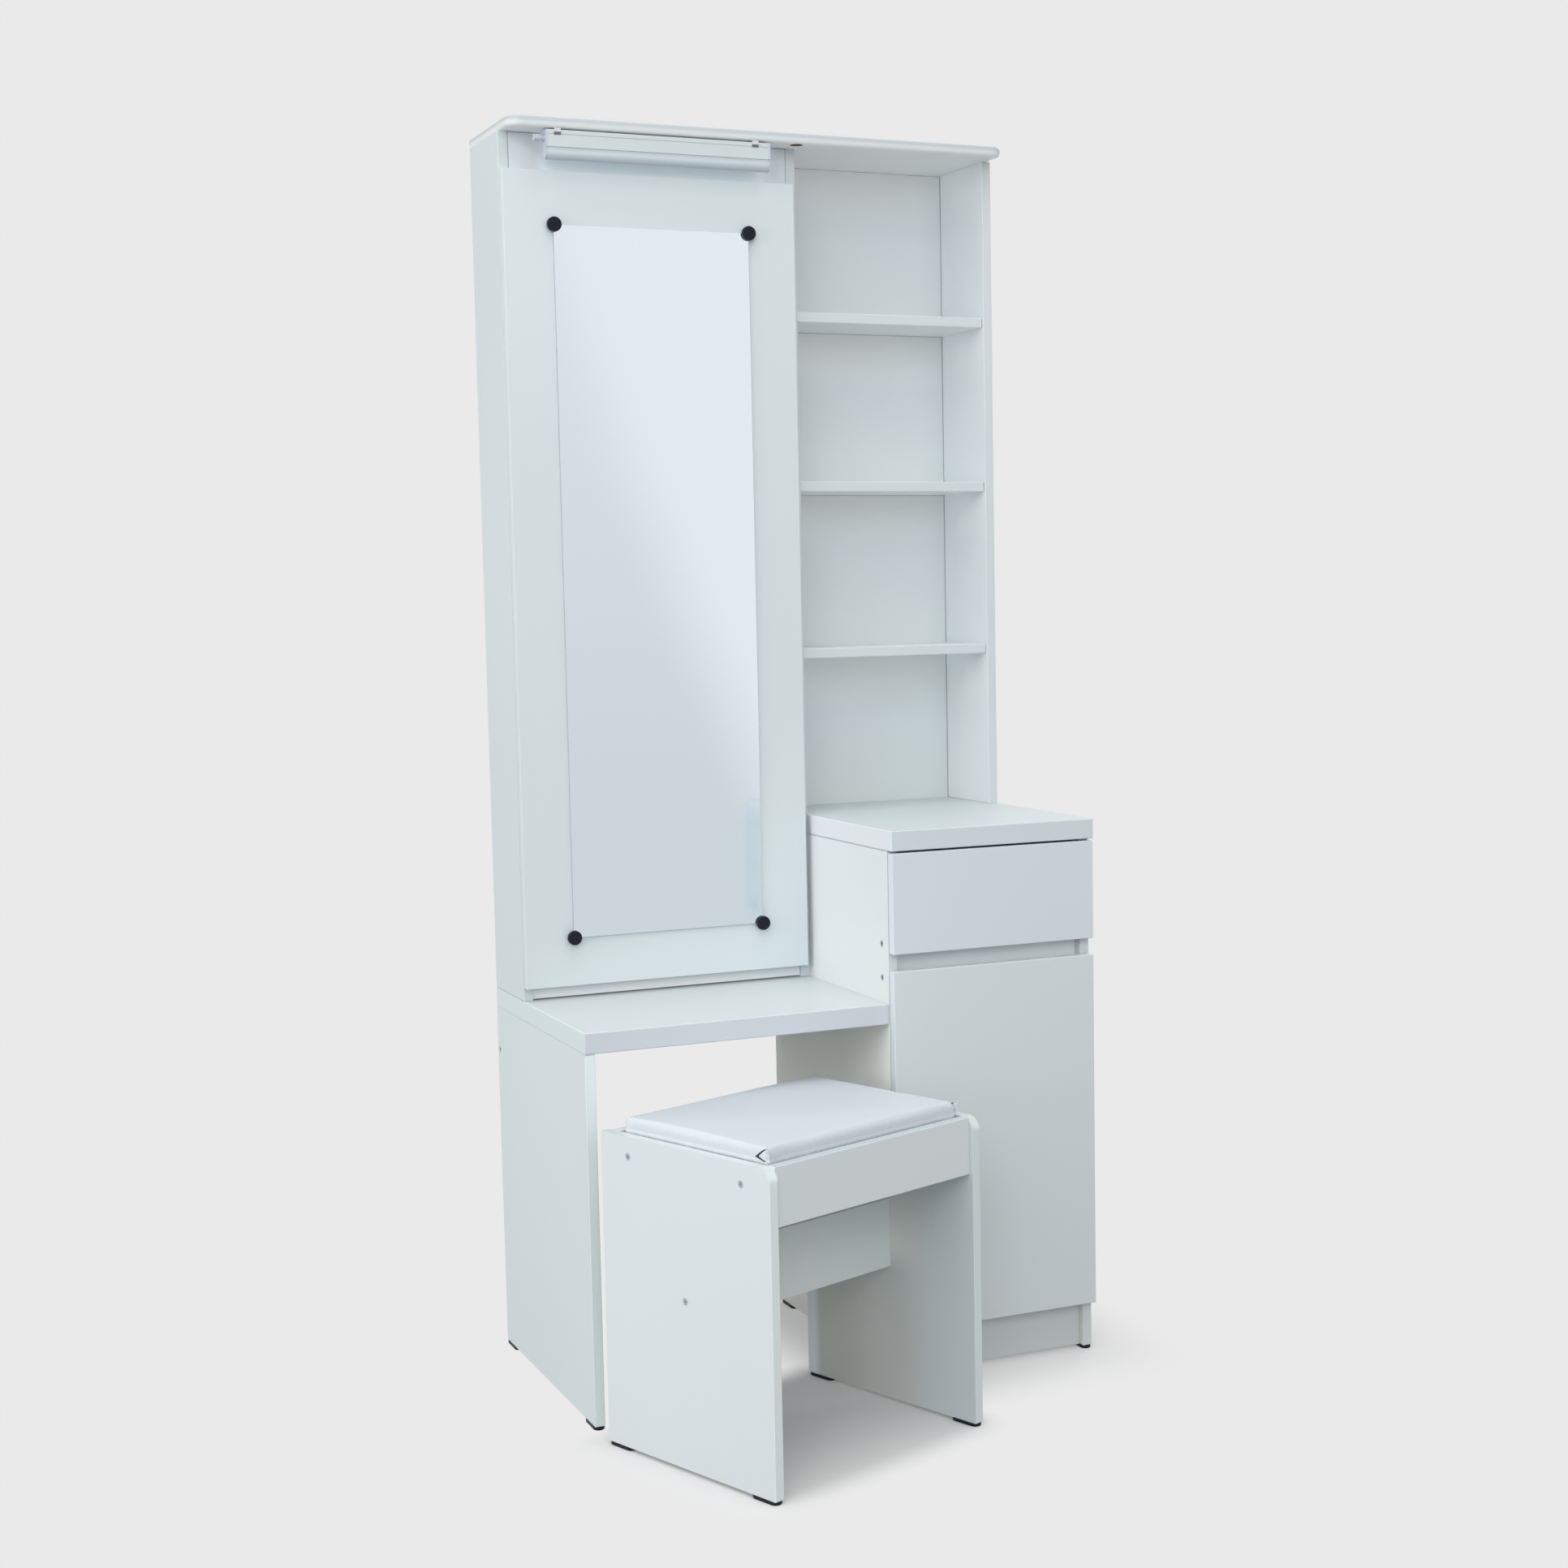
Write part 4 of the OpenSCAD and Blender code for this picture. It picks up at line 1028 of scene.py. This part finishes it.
# %% [markdown]
# At a corner the slack of the cover is folded flat, like the end of a parcel.
# The fold is a flap whose free edge runs down and away from the corner and
# then back along the bottom. At the front the flaps lie on the sides, and at
# the back right the flap is turned to the back. Above both front flaps the
# shade of a slit is painted as a thin dark sheet, and below the left one too.
# Each flap and each sheet is a small grid laid on the pad, so it follows the
# rounded shoulder above and the rounded corner.

# %% Pad: corner folds
# Corners of a patch, as (distance from the pad's corner, height), in mm.
FLAP = ((0.3, 441.4), (19.0, 447.8), (6.4, 458.4), (0.6, 458.4))
# Painted shade: the slits are thin dark sheets laid on the skin, not gaps.
UPPER_SLIT = ((16.0, 446.8), (27.0, 446.2), (9.2, 458.9), (6.2, 458.4))
LOWER_SLIT = ((7.0, 441.6), (27.0, 446.2), (17.0, 449.0), (7.0, 444.2))
# How far a patch stands off the skin, how thick it is and which finish it has.
FLAP_SHEET, SLIT_SHADE_SHEET = (-0.6, 1.2, 0), (-0.25, 0.5, 1)
# Each fold's corner, the way that it runs and the way that it faces.
FOLDS = (
    ((PAD_X[0], PAD_Y[0]), (0, 1), (-1, 0)),
    ((PAD_X[1], PAD_Y[0]), (0, 1), (1, 0)),
    ((PAD_X[1], PAD_Y[1]), (-1, 0), (0, 1)),
)
GAPING_ABOVE, GAPING_BELOW = FOLDS[:2], FOLDS[:1]
RAY_START = 30.0
MISSED_SKIN = 6


def skin_under(tree, x, y, z, out):
    """Where a line from outside meets the pad, going in against a direction."""
    start = on_stool(x + out[0] * RAY_START, y + out[1] * RAY_START, z)
    inwards = on_stool(-out[0], -out[1], 0) - on_stool(0, 0, 0)
    hit = tree.ray_cast(start, inwards.normalized(), 2 * RAY_START * MM)[0]
    if hit:
        return from_row_frame(hit)
    return Vector((x - out[0] * MISSED_SKIN, y - out[1] * MISSED_SKIN, z))


def lay_patch(bm, tree, corners, fold, sheet, cuts=8):
    """A thin sheet over the pad's skin between four corners."""
    (corner_x, corner_y), along, out = fold
    lift, thick, finish_index = sheet
    a, b, c, d = (Vector(point) for point in corners)
    grid = bmesh.ops.create_grid(bm, x_segments=cuts, y_segments=cuts, size=0.5)["verts"]
    for v in grid:
        s, t = v.co.x + 0.5, v.co.y + 0.5
        run, height = a.lerp(b, s).lerp(d.lerp(c, s), t)
        x, y = corner_x + along[0] * run, corner_y + along[1] * run
        skin = skin_under(tree, x, y, height, out)
        v.co = Vector((skin.x + out[0] * lift, skin.y + out[1] * lift, height))
    faces = list({f for v in grid for f in v.link_faces})
    grown = bmesh.ops.extrude_face_region(bm, geom=faces)["geom"]
    shell = {v for v in grown if isinstance(v, bmesh.types.BMVert)}
    outwards = Vector((out[0] * thick, out[1] * thick, 0.0))
    bmesh.ops.translate(bm, verts=list(shell), vec=outwards)
    for f in {f for v in shell | set(grid) for f in v.link_faces}:
        f.material_index = finish_index


def corner_folds(obj):
    tree = BVHTree.FromObject(obj, bpy.context.evaluated_depsgraph_get())
    bm = bmesh.new()
    for fold in FOLDS:
        if fold in GAPING_ABOVE:
            lay_patch(bm, tree, UPPER_SLIT, fold, SLIT_SHADE_SHEET)
        if fold in GAPING_BELOW:
            lay_patch(bm, tree, LOWER_SLIT, fold, SLIT_SHADE_SHEET)
        lay_patch(bm, tree, FLAP, fold, FLAP_SHEET)
    to_row_frame(bm)
    bmesh.ops.recalc_face_normals(bm, faces=bm.faces)
    return bm


def join_into(obj, bm):
    """Add a bmesh to a finished mesh object."""
    whole = bmesh.new()
    whole.from_mesh(obj.data)
    extra = bpy.data.meshes.new("extra")
    bm.to_mesh(extra)
    bm.free()
    whole.from_mesh(extra)
    whole.to_mesh(obj.data)
    whole.free()
    bpy.data.meshes.remove(extra)


smooth = pad.modifiers.new("smooth_skin", "SUBSURF")
smooth.levels = smooth.render_levels = 1
only(pad)
bpy.ops.object.modifier_apply(modifier=smooth.name)
join_into(pad, corner_folds(pad))
print("pad with folds:", len(pad.data.polygons), "faces")

# %% [markdown]
# ## Vinyl
#
# The cover is white vinyl with a faint lavender cast. Its skin has a fine
# leather print, its gloss wanders a little with the pull of the cloth, and
# its sides are painted paler towards the seat board, to lift their shade. The
# dark inside the folds is painted shade, on thin dark sheets.

# %% Vinyl finish
PAD_CREASE = math.radians(50)


def vinyl():
    finish = Finish("white_vinyl", IOR=1.5)
    point = finish.place()
    grain = {"Vector": point, "Scale": 620.0}
    leather = finish.add("ShaderNodeTexVoronoi", {"feature": "F1"}, grain)
    pull = finish.noise(9.0, 2.0, source=point)
    finish.set(Base_Color=finish.mix(pull, rgba(200, 207, 214), rgba(203, 210, 217)))
    # Painted light: the sides are paler low down, and palest near the seat board.
    lower = (1 - past(finish, "Z", 441, 456)) * (1 - faces_towards(finish, "up"))
    repaint(finish, lower, (211, 214, 221))
    repaint(finish, lower * (1 - past(finish, "Z", 442.5, 446)), (230, 235, 241))
    finish.set(Roughness=0.4 + 0.1 * pull, Normal=finish.bump(leather, 0.00012, 0.35))
    return finish.material


# Painted shade: the folds' slits are sheets of this dark finish.
fold_shadow = moulded("fold_shadow", (58, 52, 78), 0.8).material
for material in (vinyl(), fold_shadow):
    pad.data.materials.append(material)
pad.data.shade_smooth()
pad.data.set_sharp_from_angle(angle=PAD_CREASE)
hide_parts("stool_cushion")
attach(pad, "stool")
print("pad rides on the stool")

# %% [markdown]
# ## The lamp's spring clips
#
# The lamp snaps into two clips that are screwed under the top panel. Each is
# a strip of spring steel bent into a C: a bright tab comes down in front of
# the lamp, and its curled end grips a groove; from a little below the lamp's
# top the clip is painted dark.

# %% Lamp clips
LAMP_FRONT, LAMP_BACK = -197.0, -174.0
LAMP_TOP, PANEL_UNDER = 1832.5, 1835.0
CLIP_X = (76.0, 382.0)
CLIP_WIDTH, CLIP_SHEET = 10.0, 0.6
CLIP_DROP, CLIP_CURL, CLIP_CLEAR = 7.4, 0.4, 0.9


def c_clip(bm, x):
    """One clip as a strip bent round the lamp's section, not yet thickened."""
    foot, roof = LAMP_TOP - CLIP_DROP, PANEL_UNDER - 0.5
    front, back = LAMP_FRONT - CLIP_CLEAR, LAMP_BACK + CLIP_CLEAR
    path = [
        (LAMP_FRONT + CLIP_CURL, foot), (front, foot + CLIP_CURL), (front, roof),
        (back, roof), (back, foot + CLIP_CURL), (LAMP_BACK - CLIP_CURL, foot),
    ]
    verts = [bm.verts.new(at(x - CLIP_WIDTH / 2, y, z)) for y, z in path]
    edges = [bm.edges.new(pair) for pair in zip(verts, verts[1:])]
    grown = bmesh.ops.extrude_edge_only(bm, edges=edges)["geom"]
    far_edge = [v for v in grown if isinstance(v, bmesh.types.BMVert)]
    bmesh.ops.translate(bm, verts=far_edge, vec=Vector((CLIP_WIDTH * MM, 0, 0)))


bm = bmesh.new()
for x in CLIP_X:
    c_clip(bm, x)
bmesh.ops.solidify(bm, geom=bm.faces, thickness=CLIP_SHEET * MM)
print("clips:", len(bm.faces), "faces")


# %% Lamp clip finish
def clip_steel():
    finish = Finish("clip_steel", Metallic=0.2)
    bright = past(finish, "Z", LAMP_TOP - 3.6, LAMP_TOP - 3.0)
    finish.set(Base_Color=finish.mix(bright, rgba(104, 96, 108), rgba(206, 212, 216)))
    finish.set(Roughness=0.45 - 0.15 * bright)
    return finish.material


clips = make_piece(bm, "lamp_spring_clips", clip_steel(), "unit")
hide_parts("lamp_clips")
print(clips.name, "in place")

# %% [markdown]
# ## Small screws
#
# Hinge plates and hinge cups are held by short pan-head screws. One function
# makes a head: a disc, domed by a bevel, with a dark cross laid on it as the
# painted shade of its slot.

# %% Screw heads
CROSS = ((3.8, 0.9), (0.9, 3.8))


def pan_head(radius, height=1.6):
    """A cross-slotted screw head that faces +Z, at the origin."""
    bm = bmesh.new()
    made = bmesh.ops.create_cone(bm, cap_ends=True, segments=20, radius1=radius * MM,
                                 radius2=radius * MM, depth=height * MM)["verts"]
    faces = {f for v in made for f in v.link_faces}
    crown = max(faces, key=lambda f: f.calc_center_median().z)
    ease(bm, list(crown.edges), 0.9 * MM, 3)
    # Painted shade: each slot is a dark bar laid on the head, not cut into it.
    for long, wide in CROSS:
        bar = bmesh.ops.create_cube(bm, size=1.0)["verts"]
        for v in bar:
            raised = v.co.z * 0.2 + height / 2 + 0.02
            v.co = Vector((v.co.x * long, v.co.y * wide, raised)) * MM
        for f in {f for v in bar for f in v.link_faces}:
            f.material_index = 1
    return bm


def screws(name, places, body, radius=3.6):
    """Heads at places in metres, each with the way that it faces."""
    bm = bmesh.new()
    for place, way in places:
        single = pan_head(radius)
        turn = Vector((0, 0, 1)).rotation_difference(Vector(way)).to_matrix().to_4x4()
        bmesh.ops.transform(single, matrix=Matrix.Translation(place) @ turn, verts=single.verts)
        part = bpy.data.meshes.new("part")
        single.to_mesh(part)
        single.free()
        bm.from_mesh(part)
        bpy.data.meshes.remove(part)
    return make_piece(bm, name, [steel, dark_steel], body)


print("cross of", CROSS[0], "mm")

# %% Screws of the hinges
MIRROR_HINGE_Z = (685.0, 1241.5, 1680.0)
CABINET_HINGE_Z = (156.0, 534.0)
PLATE_OFF, CUP_OFF = 16, 22
CUP_SCREW = 3.2


def pairs(x, y, heights, off, way):
    """A screw below and one above the middle of each hinge."""
    return [(at(x, y, z + shift), way) for z in heights for shift in (-off, off)]


plate_screws = pairs(17.6, -121, MIRROR_HINGE_Z, PLATE_OFF, (1, 0, 0))
plate_screws += pairs(782.4, -411, CABINET_HINGE_Z, PLATE_OFF, (-1, 0, 0))
mirror_cups = pairs(23.0, -150.2, MIRROR_HINGE_Z, CUP_OFF, (0, 1, 0))
cabinet_cups = pairs(776.5, -440.2, CABINET_HINGE_Z, CUP_OFF, (0, 1, 0))
screws("hinge_plate_screws", plate_screws, "unit")
screws("mirror_cup_screws", mirror_cups, "mirror_door", CUP_SCREW)
screws("cabinet_cup_screws", cabinet_cups, "cabinet_door", CUP_SCREW)
print("screws:", len(plate_screws) + len(mirror_cups) + len(cabinet_cups))

# %% [markdown]
# ## The end
#
# The last cell sets the colour view to Standard.

# %% Finish
scene.view_settings.view_transform = "Standard"
